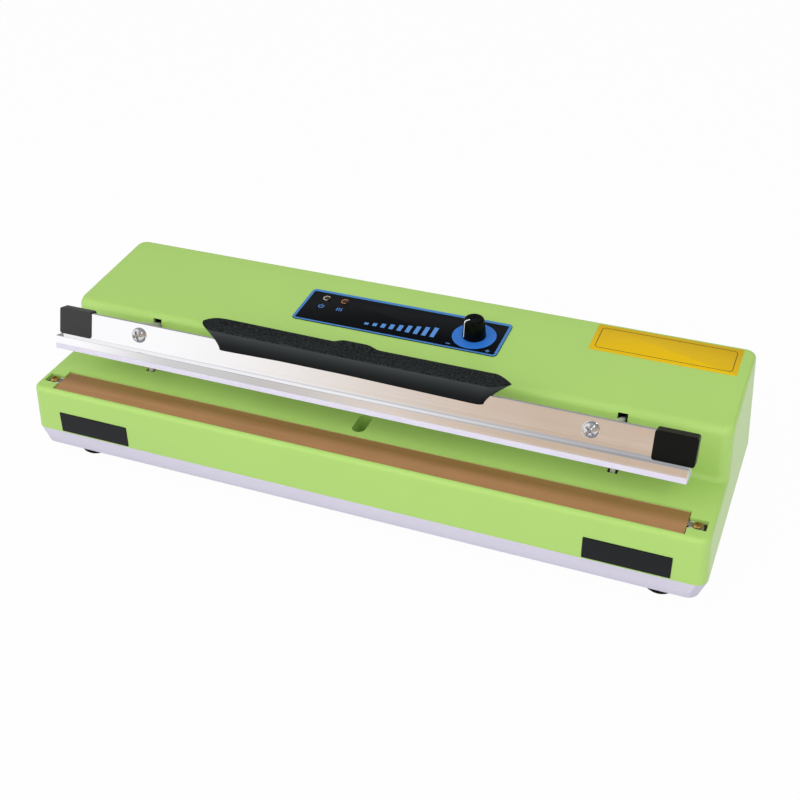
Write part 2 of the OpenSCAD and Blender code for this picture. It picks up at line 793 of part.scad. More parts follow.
// Coil former and winding round the middle limb
module transformer_winding() {
  limb = core_w / 6;
  inner = core_w / 4 - limb / 2;
  outer = core_w / 4 + limb / 2;
  h = core_h - 2 * limb - 0.6;
  color("peru") translate([core_x, core_y, z_floor + limb + 0.3]) difference() {
    translate([-outer + slip, -core_d / 2 - winding_bulge, 0])
      cube([2 * outer - 2 * slip, core_d + 2 * winding_bulge, h]);
    translate([-inner - slip, -core_d / 2 - slip, -1]) cube([2 * inner + 2 * slip, core_d + 2 * slip, h + 2]);
  }
}

// Bent strap over the core, with feet on the tray
module transformer_strap() {
  w = core_w / 2 + slip;
  d = core_d - 8;
  color("silver") translate([core_x, core_y, z_floor]) difference() {
    union() {
      translate([-w - strap_t, -d / 2, core_h + slip]) cube([2 * w + 2 * strap_t, d, strap_t]);
      for (s = [-1, 1]) translate([s > 0 ? w : -w - strap_t, -d / 2, 0])
        cube([strap_t, d, core_h + slip + eps]);
      for (s = [-1, 1]) translate([s > 0 ? w : -w - strap_foot, -d / 2, 0]) cube([strap_foot, d, strap_t]);
    }
    for (s = [-1, 1]) translate([s * strap_screw_x, 0, -1]) cylinder(r = frame_screw_r + slip, h = 5);
  }
}

module strap_screws() {
  color("silver") for (s = [-1, 1]) translate([core_x + s * strap_screw_x, core_y, z_tray])
    mirror([0, 0, 1]) pan_screw(frame_screw_r, wall + strap_t + nut_t + 2, frame_head_r, frame_head_h);
}

module strap_nuts() {
  color("silver") for (s = [-1, 1]) translate([core_x + s * strap_screw_x, core_y, z_floor + strap_t])
    hex_nut(frame_screw_r + slip / 2, nut_across, nut_t);
}

function clevis_bolts() = [y_pivot + clevis_front + 7, y_pivot + 10];

// Bent bracket: two ears that carry the pivot pin, a floor plate and a tab for the spring
module clevis_right() {
  top = z_pivot + 9;
  z0 = z_floor + clevis_t;
  color("silver") difference() {
    union() {
      translate([arm_x - ear_gap / 2 - ear_t, y_pivot + clevis_front, z_floor])
        cube([ear_gap + 2 * ear_t, clevis_back - clevis_front, clevis_t]);
      for (x = [arm_x - ear_gap / 2 - ear_t, arm_x + ear_gap / 2])
        translate([x, y_pivot, 0]) rotate([90, 0, 90])
        linear_extrude(ear_t) union() {
          translate([0, z_pivot]) circle(top - z_pivot);
          translate([-ear_w / 2, z0 - eps]) square([ear_w, 14]);
          polygon([
            [-ear_w / 2, z0 + 13], [ear_w / 2, z0 + 13], [top - z_pivot, z_pivot], [z_pivot - top, z_pivot]
          ]);
        }
      translate([arm_x - clevis_t / 2, spring_y - 5, z0 - eps]) cube([clevis_t, 10, anchor_h]);
    }
    translate([0, y_pivot, z_pivot]) along_x(arm_x - ear_gap, arm_x + ear_gap, pin_r + slip / 4);
    translate([0, spring_y, spring_low]) along_x(arm_x - 4, arm_x + 4, hook_hole_r);
    for (y = clevis_bolts()) translate([arm_x, y, z_floor - 1]) cylinder(r = frame_screw_r + slip, h = 6);
    for (y = switch_bolts()) translate([0, y, z_switch - 5]) along_x(arm_x - ear_gap, arm_x, 1.2);
  }
}

module clevis_left() {
  mirror([1, 0, 0]) clevis_right();
}

module clevis_screws() {
  color("silver") mirror_pair() for (y = clevis_bolts()) translate([arm_x, y, z_tray])
    mirror([0, 0, 1]) pan_screw(frame_screw_r, wall + clevis_t + nut_t + 1, frame_head_r, frame_head_h);
}

module clevis_nuts() {
  color("silver") mirror_pair() for (y = clevis_bolts()) translate([arm_x, y, z_floor + clevis_t])
    hex_nut(frame_screw_r + slip / 2, nut_across, nut_t);
}

// Headed pins through the ears, each with a spring clip in a groove at its far end
module pivot_pins() {
  x0 = arm_x - ear_gap / 2 - ear_t;
  x1 = arm_x + ear_gap / 2 + ear_t;
  color("silver") mirror_pair() translate([0, y_pivot, z_pivot]) {
    along_x(x0 - 3, x1 + eps, pin_r);
    along_x(x1, x1 + 2, pin_r + 1.6);
    along_x(x0 - 1.2, x0 - 0.2, pin_r + 1.8);
  }
}

// Extension spring: hook, coils and hook as one wire
spring_path = let (
  z0 = spring_low + spring_r,
  z1 = spring_top - spring_r,
  pitch = (z1 - z0) / spring_coils
) concat(
  [for (a = [150:-30:30]) [spring_r * cos(a), 0, z0 - spring_r * sin(a)]],
  [for (i = [0:8 * spring_coils]) [spring_r * cos(i * 45), spring_r * sin(i * 45), z0 + pitch * i / 8]],
  [for (a = [30:30:150]) [spring_r * cos(a), 0, z1 + spring_r * sin(a)]]
);
spring_gap = (spring_top - spring_low - 2 * spring_r) / spring_coils - 2 * spring_wire_r;
echo(spring_gap = spring_gap);

module return_spring_right() {
  color("silver") translate([arm_x, spring_y, 0]) sweep(spring_path, spring_wire_r, 6);
}

module return_spring_left() {
  mirror([1, 0, 0]) return_spring_right();
}

function switch_bolts() = [plunger_y - 6, plunger_y + 4];

module microswitch() {
  x0 = arm_x - ear_gap / 2;
  color([0.1, 0.1, 0.1]) difference() {
    translate([x0, plunger_y - 11, z_switch - switch_h]) cube([switch_w, switch_l, switch_h]);
    translate([arm_x, plunger_y, z_switch - 4.4]) cylinder(r = plunger_r + 0.3, h = 10);
    for (y = switch_bolts()) translate([0, y, z_switch - 5]) along_x(x0 - 1, x0 + 2 * switch_w, 1.2);
  }
}

module switch_screws() {
  color("silver") for (y = switch_bolts()) translate([arm_x - ear_gap / 2 - ear_t, y, z_switch - 5])
    rotate([0, -90, 0]) pan_screw(1.1, ear_t + switch_w, 2.1, 1.4);
}

module switch_plunger() {
  color("firebrick") translate([arm_x, plunger_y, plunger_top - plunger_h + 1.2]) {
    cylinder(r = plunger_r, h = plunger_h - 2);
    translate([0, 0, plunger_h - 2]) cylinder(r1 = plunger_r, r2 = plunger_r - 0.8, h = 0.8);
  }
}

// Leads from the winding's front to the terminals, laid along the tray
lead_r = 1.4;
lead_low = z_floor + 8;
lead_y = core_y - core_d / 2 - winding_bulge - 0.4; // where the leads leave the winding
lead_turn = lead_y - 40.6; // where they turn outwards
lead_bend = 12;
lead_route = [
  [lead_y, z_floor + 26], [lead_y - 4.6, z_floor + 26], [lead_y - 12.6, z_floor + 22],
  [lead_y - 22.6, z_floor + 12], [lead_y - 32.6, lead_low], [lead_turn, lead_low]
];
function lead_points(s) = concat(
  [for (p = lead_route) [core_x + s * 12, p[0], p[1]]],
  [for (t = [1:4]) let (a = 90 * t / 4, r = lead_bend)
    [core_x + s * (12 + r * (1 - cos(a))), lead_turn - r * sin(a), lead_low]],
  [[s * (terminal_x - 30), (lead_turn - lead_bend + tape_y + 14.7) / 2, lead_low]],
  [for (t = [1:4]) let (a = 90 * t / 4, r = 14.7)
    [s * (terminal_x - 14.7 + r * sin(a)), tape_y + 14.7 * cos(a), lead_low + 4 * t / 4]],
  [[s * terminal_x, tape_y, lead_low + 10], [s * terminal_x, tape_y, z_trough - 0.3]]
);

module lead_wires() {
  color("firebrick") for (s = [-1, 1]) sweep(lead_points(s), lead_r, 8);
}

// Flanged rubber ring in the back wall
module inlet_frame() {
  z = z_part + 14;
  translate([case_w / 2 - inlet_in, back_at(z), z]) rotate([-90 + draft, 0, 0]) children();
}

module cord_inlet() {
  color([0.08, 0.08, 0.08]) inlet_frame() difference() {
    union() {
      translate([0, 0, -wall - 1.6]) cylinder(r = inlet_bore / 2 + 2.5, h = wall + 1.7);
      cylinder(r = inlet_bore / 2 + 4.5, h = inlet_proud);
      translate([0, 0, -wall - 1.6]) cylinder(r = inlet_bore / 2 + 4, h = 1.5);
    }
    translate([0, 0, -10]) cylinder(d = inlet_bore, h = 20);
  }
}

// Inverted T with a groove under its foot for the silicone
module press_bar() {
  color("gainsboro") at_rest() difference() {
    translate([-bar_l / 2, 0, 0]) rotate([90, 0, 90]) linear_extrude(bar_l) difference() {
      union() {
        translate([y_foot, z_foot]) square([foot_d, bar_foot_h]);
        translate([y_plate, z_plate - eps]) square([plate_t, plate_h + eps]);
      }
      translate([tape_y - groove_w / 2, z_foot - 1]) square([groove_w, groove_h + 1]);
    }
    mirror_pair() translate([bar_screw_x, 0, bar_screw_z])
      along_y(y_plate - 2, y_plate + 8, bar_screw_r + slip);
    for (x = handle_screw_x) translate([x, 0, handle_screw_z]) along_y(y_plate - 2, y_plate + 8, 1.5 + slip);
  }
}

module silicone_strip() {
  color("ghostwhite") at_rest() translate([-bar_l / 2, 0, 0]) rotate([90, 0, 90])
    linear_extrude(bar_l) union() {
      translate([y_foot, z_sil]) square([foot_d, silicone_h]);
      translate([tape_y - groove_w / 2 + slip, z_foot - eps])
        square([groove_w - 2 * slip, groove_h - slip + eps]);
    }
}

// Slip-on cap: a box with a slit for the plate, open below and towards the middle
module end_cap_right() {
  x1 = bar_l / 2 + cap_wall;
  h = plate_h + cap_wall;
  color([0.13, 0.13, 0.14]) at_rest() difference() {
    translate([x1 - cap_l / 2, y_plate + plate_t + cap_wall + 0.6, z_plate]) rotate([90, 0, 0])
      linear_extrude(plate_t + 2 * cap_wall + 0.6) round_plate(cap_l, h, cap_r);
    translate([x1 - cap_l - 1, y_plate - slip / 2, z_plate - 1])
      cube([cap_l - cap_wall + 1 + slip, plate_t + slip, plate_h + 1 + slip]);
  }
}

module end_cap_left() {
  mirror([1, 0, 0]) end_cap_right();
}

// Handle: rings that grow from the slim foot round the plate to a wide top with pointed ends
handle_screw_x = [grip_off_x - 60, grip_off_x + 60];
handle_screw_z = z_plate + grip_low + 2.6;
handle_head_r = 2.2;
handle_seat = y_plate + plate_t + grip_wall - 0.3; // flat in the handle's back that a screw head lies on
grip_steps = 28;
grip_rings = 6;
function mix(a, b, t) = a + (b - a) * t;
function grip_ring(t) =
  let (
    flare = pow(t, 2.2),
    half_l = mix(grip_foot, grip_tip, pow(t, 1.5)),
    foot_depth = plate_t + 2 * grip_wall,
    half_d = mix(foot_depth / 2, grip_top_d / 2, flare),
    mid_y = mix(plate_t / 2, plate_t / 2 + 2, flare),
    power = mix(60, 30, flare)
  ) [
    for (k = [0:2 * grip_steps - 1])
      let (
        front = k <= grip_steps,
        s = -cos(180 * (front ? k : 2 * grip_steps - k) / grip_steps),
        side = (front ? -1 : 1) * (1 - pow(abs(s), power)),
        top = mix(grip_front_h, grip_back_h, 0.5 + 0.5 * side),
        swell = front ? 0 : grip_swell * exp(-pow(half_l * s / 12, 6)) * flare
      ) [grip_off_x + half_l * s, y_plate + mid_y + half_d * side, z_plate + grip_low + top * t + swell]
  ];

module grip_form() {
  n = 2 * grip_steps;
  m = grip_rings;
  polyhedron(
    points = [for (i = [0:m]) each grip_ring(i / m)],
    faces = concat(
      [for (i = [0:m - 1]) for (k = [0:n - 1])
        let (a = i * n + k, b = i * n + (k + 1) % n) each [[a, a + n, b], [b, a + n, b + n]]],
      [for (k = [0:grip_steps - 1]) for (top = [0, 1])
        let (base = top * m * n, a = base + k, b = a + 1, c = base + (n - k) % n, d = base + n - k - 1)
          each (top == 1 ? [[a, d, b], [a, c, d]] : [[a, b, d], [a, d, c]])]
    )
  );
}

module handle() {
  color([0.14, 0.15, 0.16]) at_rest() difference() {
    grip_form();
    translate([-case_w / 2, y_plate - slip / 2, z_plate]) cube([case_w, plate_t + slip, plate_h + slip]);
    for (x = handle_screw_x) translate([x, 0, handle_screw_z]) {
      along_y(y_plate - 2, y_plate + 20, 1.3 + slip);
      along_y(handle_seat, y_plate + 20, handle_head_r + 0.2);
    }
  }
}

module handle_screws() {
  color("silver") at_rest() for (x = handle_screw_x)
    translate([x, handle_seat, handle_screw_z])
      rotate([-90, 0, 0]) pan_screw(1.3, plate_t + grip_wall + 1.4, handle_head_r, 1.6);
}

// Stamped arm with a deep web that dips through the deck, a tail for the spring and a tab for the bar
module arm_right() {
  dz = z_pivot;
  color("silver") at_rest() difference() {
    union() {
      translate([arm_x - arm_t / 2, 0, 0]) rotate([90, 0, 90]) linear_extrude(arm_t) union() {
        polygon([
          [tab_y, bar_screw_z + tab_h / 2], [tab_y, bar_screw_z - tab_h / 2], [web_y, z_deck + 2],
          [web_y, z_deck - web_drop], [y_pivot - heel_l, dz - heel_drop], [y_pivot, dz - heel_drop],
          [y_pivot, dz + boss_r]
        ]);
        translate([y_pivot, dz]) circle(boss_r);
        translate([y_pivot, dz]) polygon([for (v = [[0, boss_r], [-1, -boss_r + 1], [8, tail_rest[1] - lug_r],
          [tail_rest[0], tail_rest[1] - lug_r], [tail_rest[0], tail_rest[1] + lug_r]]) pressed(v)]);
        translate([y_pivot + tail_hole[0], dz + tail_hole[1]]) circle(lug_r);
      }
      translate([bar_screw_x - 5.5, tab_y, bar_screw_z - tab_h / 2])
        cube([arm_x + arm_t / 2 - bar_screw_x + 5.5, arm_t, tab_h]);
    }
    translate([0, y_pivot, dz]) along_x(arm_x - 5, arm_x + 5, bush_r + slip / 4);
    translate([0, y_pivot + tail_hole[0], dz + tail_hole[1]]) along_x(arm_x - 5, arm_x + 5, hook_hole_r);
    translate([bar_screw_x, 0, bar_screw_z]) along_y(tab_y - 2, tab_y + 8, bar_screw_r + slip);
  }
}

module arm_left() {
  mirror([1, 0, 0]) arm_right();
}

module arm_bushes() {
  color("goldenrod") mirror_pair() translate([0, y_pivot, z_pivot]) difference() {
    along_x(arm_x - ear_gap / 2 + clear, arm_x + ear_gap / 2 - clear, bush_r);
    along_x(arm_x - ear_gap, arm_x + ear_gap, pin_r + run);
  }
}

module bar_screws() {
  color("silver") at_rest() mirror_pair() translate([bar_screw_x, y_plate, bar_screw_z])
    rotate([90, 0, 0]) pan_screw(bar_screw_r, plate_t + arm_t + nut_t + 1, bar_head_r, bar_head_h);
}

module bar_nuts() {
  color("silver") at_rest() mirror_pair() translate([bar_screw_x, tab_y + arm_t, bar_screw_z])
    rotate([-90, 0, 0]) hex_nut(bar_screw_r + slip / 2, nut_across, nut_t);
}

upper_casing();
base_tray();
rubber_feet();
casing_screws();
front_pad_left();
front_pad_right();
heating_bed();
insulating_strip();
heating_wire();
release_tape();
terminal_blocks();
terminal_left();
terminal_right();
terminal_screws();
control_panel();
power_lamp();
work_lamp();
circuit_board();
board_components();
board_screws();
potentiometer();
potentiometer_nut();
transformer_core();
transformer_winding();
transformer_strap();
strap_screws();
strap_nuts();
clevis_left();
clevis_right();
clevis_screws();
clevis_nuts();
pivot_pins();
return_spring_left();
return_spring_right();
microswitch();
switch_screws();
lead_wires();
cord_inlet();
press_bar();
silicone_strip();
end_cap_left();
end_cap_right();
handle();
handle_screws();
arm_left();
arm_right();
arm_bushes();
bar_screws();
bar_nuts();
switch_plunger();
timer_knob();
knob_spindle();
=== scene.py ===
import json
import math

import bmesh
import bpy
import numpy as np
from mathutils import Matrix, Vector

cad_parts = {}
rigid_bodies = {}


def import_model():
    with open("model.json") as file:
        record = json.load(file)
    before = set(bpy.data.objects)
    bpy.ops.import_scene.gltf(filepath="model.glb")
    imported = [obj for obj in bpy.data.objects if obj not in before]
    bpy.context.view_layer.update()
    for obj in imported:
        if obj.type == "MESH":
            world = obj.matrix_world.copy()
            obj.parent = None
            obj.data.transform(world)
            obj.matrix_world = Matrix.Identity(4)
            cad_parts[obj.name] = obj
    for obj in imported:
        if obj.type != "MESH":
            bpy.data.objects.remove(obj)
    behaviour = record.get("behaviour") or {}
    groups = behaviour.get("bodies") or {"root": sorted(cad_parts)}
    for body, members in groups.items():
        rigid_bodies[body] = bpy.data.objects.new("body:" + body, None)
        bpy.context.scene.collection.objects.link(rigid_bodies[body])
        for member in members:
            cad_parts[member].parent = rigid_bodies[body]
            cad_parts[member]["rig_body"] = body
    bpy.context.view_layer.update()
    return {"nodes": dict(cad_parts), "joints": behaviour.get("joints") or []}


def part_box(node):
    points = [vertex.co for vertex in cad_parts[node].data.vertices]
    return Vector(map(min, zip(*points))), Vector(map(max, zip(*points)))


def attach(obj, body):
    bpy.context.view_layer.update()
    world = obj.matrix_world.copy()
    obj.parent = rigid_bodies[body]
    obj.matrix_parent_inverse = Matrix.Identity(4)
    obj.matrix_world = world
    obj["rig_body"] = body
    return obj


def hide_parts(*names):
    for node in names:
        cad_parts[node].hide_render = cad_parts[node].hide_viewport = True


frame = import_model()
mm = 0.001
print("frame loaded:", len(frame["nodes"]), "nodes")

# places that the joints give
joints = {j["name"]: j for j in frame["joints"]}
pivot = np.array(joints["bar_swing"]["pos_m"])
pressAngle = math.radians(joints["bar_swing"]["range_deg"][1])
knobFoot = np.array(joints["knob_turn"]["pos_m"])
knobAxis = -np.array(joints["knob_turn"]["axis"])  # out of the sloping top
topTilt = math.atan2(-knobAxis[1], knobAxis[2])


def turnX(points, angle, centre):
    # turns points about a line along X through the centre
    p = np.asarray(points, float) - centre
    c, s = math.cos(angle), math.sin(angle)
    return np.stack([p[..., 0], p[..., 1] * c - p[..., 2] * s, p[..., 1] * s + p[..., 2] * c], -1) + centre


def toRest(points):
    # the bar's pieces are worked out pressed down, then swung back up
    return turnX(points, -pressAngle, pivot)


def onTop(points):
    # x as it is, y up the slope from the knob's axis, z out of the sloping top
    p = np.asarray(points, float)
    c, s = math.cos(topTilt), math.sin(topTilt)
    y = knobFoot[1] + p[..., 1] * c - p[..., 2] * s
    z = knobFoot[2] + p[..., 1] * s + p[..., 2] * c
    return np.stack([p[..., 0], y, z], -1)


def meshPoints(mesh):
    # a mesh's vertices as an array
    flat = np.zeros(len(mesh.vertices) * 3, np.float32)
    mesh.vertices.foreach_get("co", flat)
    return flat.reshape(-1, 3).astype(float)


def markPoints(piece, name, values):
    # stores one number for each vertex, for a shader to read
    mark = piece.data.attributes.new(name, "FLOAT", "POINT")
    mark.data.foreach_set("value", values.astype(np.float32))


def spanOf(points):
    # lowest corner, highest corner and middle
    low, high = points.min(0), points.max(0)
    return low, high, (low + high) / 2


def nodeBox(name):
    # the span of a node at rest
    return spanOf(np.array(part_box(name)))


def pressedBox(name):
    # the span of a node of the bar when it is pressed down
    return spanOf(turnX(meshPoints(frame["nodes"][name].data), pressAngle, pivot))


# mesh helpers; angles in degrees
meshing = {"sameSpot": 2e-6, "sliver": 1e-7, "flatWithin": 0.3, "sharp": 40, "bevelSteps": 3}


def sheetOf(points, wrapRows=False, wrapColumns=False):
    # a grid of points as one part, its vertices and its quads; a wrapped way joins its last line to its first
    rows, columns = points.shape[:2]
    i = np.arange(rows if wrapRows else rows - 1)
    j = np.arange(columns if wrapColumns else columns - 1)
    a, b = np.meshgrid(i, j, indexing="ij")
    c, d = (a + 1) % rows, (b + 1) % columns
    quads = np.stack([a * columns + b, c * columns + b, c * columns + d, a * columns + d], -1)
    return points.reshape(-1, 3), quads.reshape(-1, 4).tolist()


def ringCap(points):
    # one flat face over a ring of points
    return points.reshape(-1, 3), [list(range(len(points)))]


def joined(*parts):
    # several parts as one list of vertices and one of faces
    verts, faces, offset = [], [], 0
    for v, f in parts:
        verts.append(v)
        faces += [[k + offset for k in face] for face in f]
        offset += len(v)
    return np.concatenate(verts), faces


def tubeOf(rings):
    # closed rings in a row, with a flat face over the first and the last
    return joined(sheetOf(rings, wrapColumns=True), ringCap(rings[0]), ringCap(rings[-1]))


def circle(steps):
    # angles once round, as one row
    return np.linspace(0, 2 * math.pi, steps, endpoint=False)[None, :]


def polar(r, a, z, centre=(0, 0)):
    # points by radius, angle and height round a centre
    r, a, z = np.broadcast_arrays(r, a, z)
    return np.stack([r * np.cos(a) + centre[0], r * np.sin(a) + centre[1], z], -1)


def settle(name, mesh, body, material, nodes):
    # a mesh as a piece with its finish, its body and the nodes that it stands for
    piece = bpy.data.objects.new(name, mesh)
    bpy.context.scene.collection.objects.link(piece)
    mesh.materials.append(finish[material])
    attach(piece, body)
    if nodes:
        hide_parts(*nodes)
    return piece


def newPiece(name, part, body, material, nodes=(), sharp=meshing["sharp"]):
    # a piece from vertices and faces: doubles merged, faces turned outwards, smooth but for sharp edges
    verts, faces = part
    mesh = bpy.data.meshes.new(name)
    mesh.from_pydata(verts.tolist(), [], faces)
    bm = bmesh.new()
    bm.from_mesh(mesh)
    bmesh.ops.remove_doubles(bm, verts=bm.verts, dist=meshing["sameSpot"])
    bmesh.ops.dissolve_degenerate(bm, edges=bm.edges, dist=meshing["sliver"])
    bmesh.ops.recalc_face_normals(bm, faces=bm.faces)
    bm.to_mesh(mesh)
    bm.free()
    mesh.shade_smooth()
    mesh.set_sharp_from_angle(angle=math.radians(sharp))
    return settle(name, mesh, body, material, nodes)


def nodeCopy(node, name, material, edge, reshape=None):
    # a node's own shape, merged, its flat faces joined and its edges rounded; reshape moves its points
    source = frame["nodes"][node]
    mesh = bpy.data.meshes.new(name)
    bm = bmesh.new()
    bm.from_mesh(source.data)
    bmesh.ops.remove_doubles(bm, verts=bm.verts, dist=meshing["sameSpot"])
    flat = math.radians(meshing["flatWithin"])
    bmesh.ops.dissolve_limit(bm, angle_limit=flat, verts=bm.verts, edges=bm.edges)
    bm.to_mesh(mesh)
    bm.free()
    if reshape:
        mesh.vertices.foreach_set("co", reshape(meshPoints(mesh)).astype(np.float32).ravel())
    mesh.shade_smooth()
    piece = settle(name, mesh, source["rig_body"], material, [node])
    bevel = piece.modifiers.new("edges", "BEVEL")
    bevel.width = edge
    bevel.segments = meshing["bevelSteps"]
    bevel.limit_method = "ANGLE"
    bevel.angle_limit = math.radians(meshing["sharp"])
    bevel.harden_normals = False
    piece.modifiers.new("flats", "WEIGHTED_NORMAL").keep_sharp = True
    return piece


# shader helpers

def tone(r, g, b):
    # screen values from 0 to 255 as the linear colour that a shader takes
    c = np.array([r, g, b]) / 255
    c = np.where(c <= 0.04045, c / 12.92, ((c + 0.055) / 1.055) ** 2.4)
    return (*c.tolist(), 1.0)


class Wire:
    # a socket in a node tree; arithmetic on it adds Math nodes, node() adds any other node
    def __init__(self, tree, socket=None):
        self.tree = tree
        self.socket = socket

    def node(self, kind, inputs=None, output=0, **settings):
        made = self.tree.nodes.new(kind)
        for key, value in settings.items():
            setattr(made, key, value)
        for key, value in (inputs or {}).items():
            if isinstance(value, Wire):
                self.tree.links.new(value.socket, made.inputs[key])
            else:
                made.inputs[key].default_value = value
        return Wire(self.tree, made.outputs[output] if len(made.outputs) else None)

    def also(self, output):
        # another output of the same node
        return Wire(self.tree, self.socket.node.outputs[output])

    def split(self):
        # the three parts of a vector
        parts = self.node("ShaderNodeSeparateXYZ", {"Vector": self})
        return [parts.also(k) for k in range(3)]

    def math(self, operation, other=0.0):
        return self.node("ShaderNodeMath", {0: self, 1: other}, operation=operation)

    def smooth(self, start, stop, first=0.0, last=1.0):
        # goes from the first value to the last between start and stop, gently at both ends
        return self.node("ShaderNodeMapRange", {0: self, 1: start, 2: stop, 3: first, 4: last},
                         interpolation_type="SMOOTHSTEP")

    def __add__(self, other):
        return self.math("ADD", other)

    def __sub__(self, other):
        return self.math("SUBTRACT", other)

    def __mul__(self, other):
        return self.math("MULTIPLY", other)


def newMaterial(name):
    # an empty material and its Object coordinates
    material = bpy.data.materials.new(name)
    material.use_nodes = True
    material.node_tree.nodes.clear()
    return material, Wire(material.node_tree).node("ShaderNodeTexCoord", output="Object")


def closeMaterial(material, **inputs):
    # one principled shader into the output; names with spaces come in camelCase
    names = {"baseColor": "Base Color", "roughness": "Roughness", "metallic": "Metallic", "normal": "Normal",
             "coat": "Coat Weight", "coatRoughness": "Coat Roughness", "softness": "Subsurface Weight",
             "softScale": "Subsurface Scale", "specular": "Specular IOR Level"}
    tree = Wire(material.node_tree)
    shader = tree.node("ShaderNodeBsdfPrincipled", {names[k]: v for k, v in inputs.items()})
    tree.node("ShaderNodeOutputMaterial", {"Surface": shader})
    return material


def noise(coords, scale, detail=2.0, roughness=0.5):
    return coords.node("ShaderNodeTexNoise", {"Vector": coords, "Scale": scale, "Detail": detail,
                                              "Roughness": roughness})


def stretched(coords, x, y, z):
    return coords.node("ShaderNodeMapping", {"Vector": coords, "Scale": (x, y, z)})


def marked(coords, name):
    # a number that markPoints has stored
    return coords.node("ShaderNodeAttribute", output="Fac", attribute_name=name)


def blend(factor, first, second):
    # a colour between two others
    return factor.node("ShaderNodeMix", {0: factor, 6: first, 7: second}, 2, data_type="RGBA")


def bumped(height, depth):
    # a normal from a height between 0 and 1 times a depth in millimetres
    return height.node("ShaderNodeBump", {"Strength": 1.0, "Distance": depth * mm, "Height": height})


def shifted(colour, share):
    # the same colour, lighter or darker by a share
    return (*[min(1.0, c * (1 + share)) for c in colour[:3]], 1.0)


def mottled(field, colour, share):
    # a colour that gets darker and lighter by a share
    return blend(field, shifted(colour, -share), shifted(colour, share))


def around(field, middle, spread):
    # a value that varies round its middle
    return (field - 0.5) * spread + middle


def mouldedPlastic(name, colour, roughness, cloud=0.04, grain=900, depth=0.03, specular=0.5, coat=0.0):
    # moulded plastic: faint clouds in the colour, a fine grain in gloss and height
    material, coords = newMaterial(name)
    fine = noise(coords, grain)
    return closeMaterial(material, baseColor=mottled(noise(coords, 22, 3), colour, cloud),
                         roughness=around(fine, roughness, 0.12), normal=bumped(fine, depth),
                         specular=specular, coat=coat, coatRoughness=0.25)


# painted reflection: the front of the bar's foot is painted darker from near its left end to the middle
darkReflection = {"fromX": (-0.19, -0.11), "toX": (-0.06, 0.04), "darker": -0.36}  # on the front of the bar's foot


def drawnMetal(name, colour, roughness, streak=(5, 700, 700), depth=0.004, reflectionFace=None):
    # metal with fine lines and a little unevenness in its gloss; the last argument gives a direction and how
    # far along it the outer face lies, which has a painted reflection: darker between the left end and the
    # middle
    material, coords = newMaterial(name)
    lines = noise(stretched(coords, *streak), 1.0, 4, 0.6)
    clouds = noise(coords, 35)
    base = blend(lines * 0.6 + clouds * 0.4, shifted(colour, -0.05), shifted(colour, 0.03))
    if reflectionFace:
        # painted reflection: the outer face is darkened between the left end and the middle
        reach = coords.node("ShaderNodeVectorMath", {0: coords, 1: reflectionFace[0]}, 1, operation="DOT_PRODUCT")
        x = coords.split()[0]
        reflectionMask = reach.math("GREATER_THAN", reflectionFace[1]) * x.smooth(*darkReflection["toX"], 1, 0) * x.smooth(*darkReflection["fromX"])
        base = blend(reflectionMask, base, shifted(colour, darkReflection["darker"]))
    return closeMaterial(material, baseColor=base, metallic=1.0, normal=bumped(lines, depth),
                         roughness=around(lines, roughness, 0.1) + (clouds - 0.5) * 0.05)


def softRubber(name, colour, roughness, depth=0.02, softness=0.0):
    # rubber or silicone: matt, with a dusty variation
    material, coords = newMaterial(name)
    dust = noise(coords, 60, 4, 0.6)
    return closeMaterial(material, baseColor=mottled(dust, colour, 0.06), softness=softness, softScale=1 * mm,
                         roughness=around(dust, roughness, 0.15), normal=bumped(noise(coords, 1400), depth))


def coatedCloth(name, colour, other, back=None, edgePale=tone(222, 210, 170)):
    # coated glass cloth: long streaks from the web, a fine square weave under the coating; the "back"
    # attribute is 1 on the half behind the heating wire, which is painted darker as shade, and the "cut"
    # attribute is 1 at the long cut edges, which are paler
    material, coords = newMaterial(name)
    streaks = noise(stretched(coords, 12, 260, 260), 1.0, 4, 0.6)
    pitch = 2 * math.pi / (0.55 * mm)
    along, across = [(part * pitch).math("SINE") for part in coords.split()[:2]]
    weave = along * across * 0.5 + 0.5
    base = blend(streaks * 0.6 + noise(coords, 30) * 0.4, colour, other)
    if back:
        # painted shade: the tape is darker on its half behind the wire
        base = blend(marked(coords, "back") * (streaks * 0.5 + 0.7), base, back)
        # paler along the long edges, more at the front edge
        base = blend(marked(coords, "cut"), base, edgePale)
    return closeMaterial(material, baseColor=base, roughness=around(streaks, 0.34, 0.25),
                         normal=bumped(weave * 0.5 + streaks * 0.5, 0.03), coat=0.15, coatRoughness=0.3)


def printedInk(name, colour, roughness, specular=0.5):
    # flat printing ink with a slight orange-peel
    material, coords = newMaterial(name)
    peel = noise(coords, 500)
    return closeMaterial(material, baseColor=mottled(peel, colour, 0.05), specular=specular,
                         roughness=around(peel, roughness, 0.08), normal=bumped(peel, 0.006))


def tintedLens(name, colour):
    # small lamp lens: deep colour under a clear, glossy skin
    material, coords = newMaterial(name)
    uneven = noise(coords, 300)
    return closeMaterial(material, baseColor=mottled(uneven, colour, 0.2), coat=0.6, coatRoughness=0.06,
                         roughness=around(uneven, 0.12, 0.06))


def grainedGrip(name, smooth, grained):
    # black handle: the "grain" attribute is 1 on its top, where the mould was textured, and the other
    # attribute goes from 0 at its lower edge to 1 at the ridge: painted shade, darker low on the front
    material, coords = newMaterial(name)
    grain = marked(coords, "grain")
    pits = noise(coords, 800, 2, 0.6)
    # painted shade: the front is darker towards its lower edge and lighter at the ridge
    front = blend(marked(coords, "ridgeLight") * (noise(coords, 40) * 0.3 + 0.85), shifted(smooth, -0.9), smooth)
    top = blend(pits.smooth(0.36, 0.68), shifted(grained, -0.85), grained)
    return closeMaterial(material, baseColor=blend(grain, front, top), specular=0.08,
                         roughness=grain * 0.1 + 0.42 + (pits - 0.5) * 0.1,
                         normal=bumped(pits * (grain * 0.95 + 0.05), 0.35))


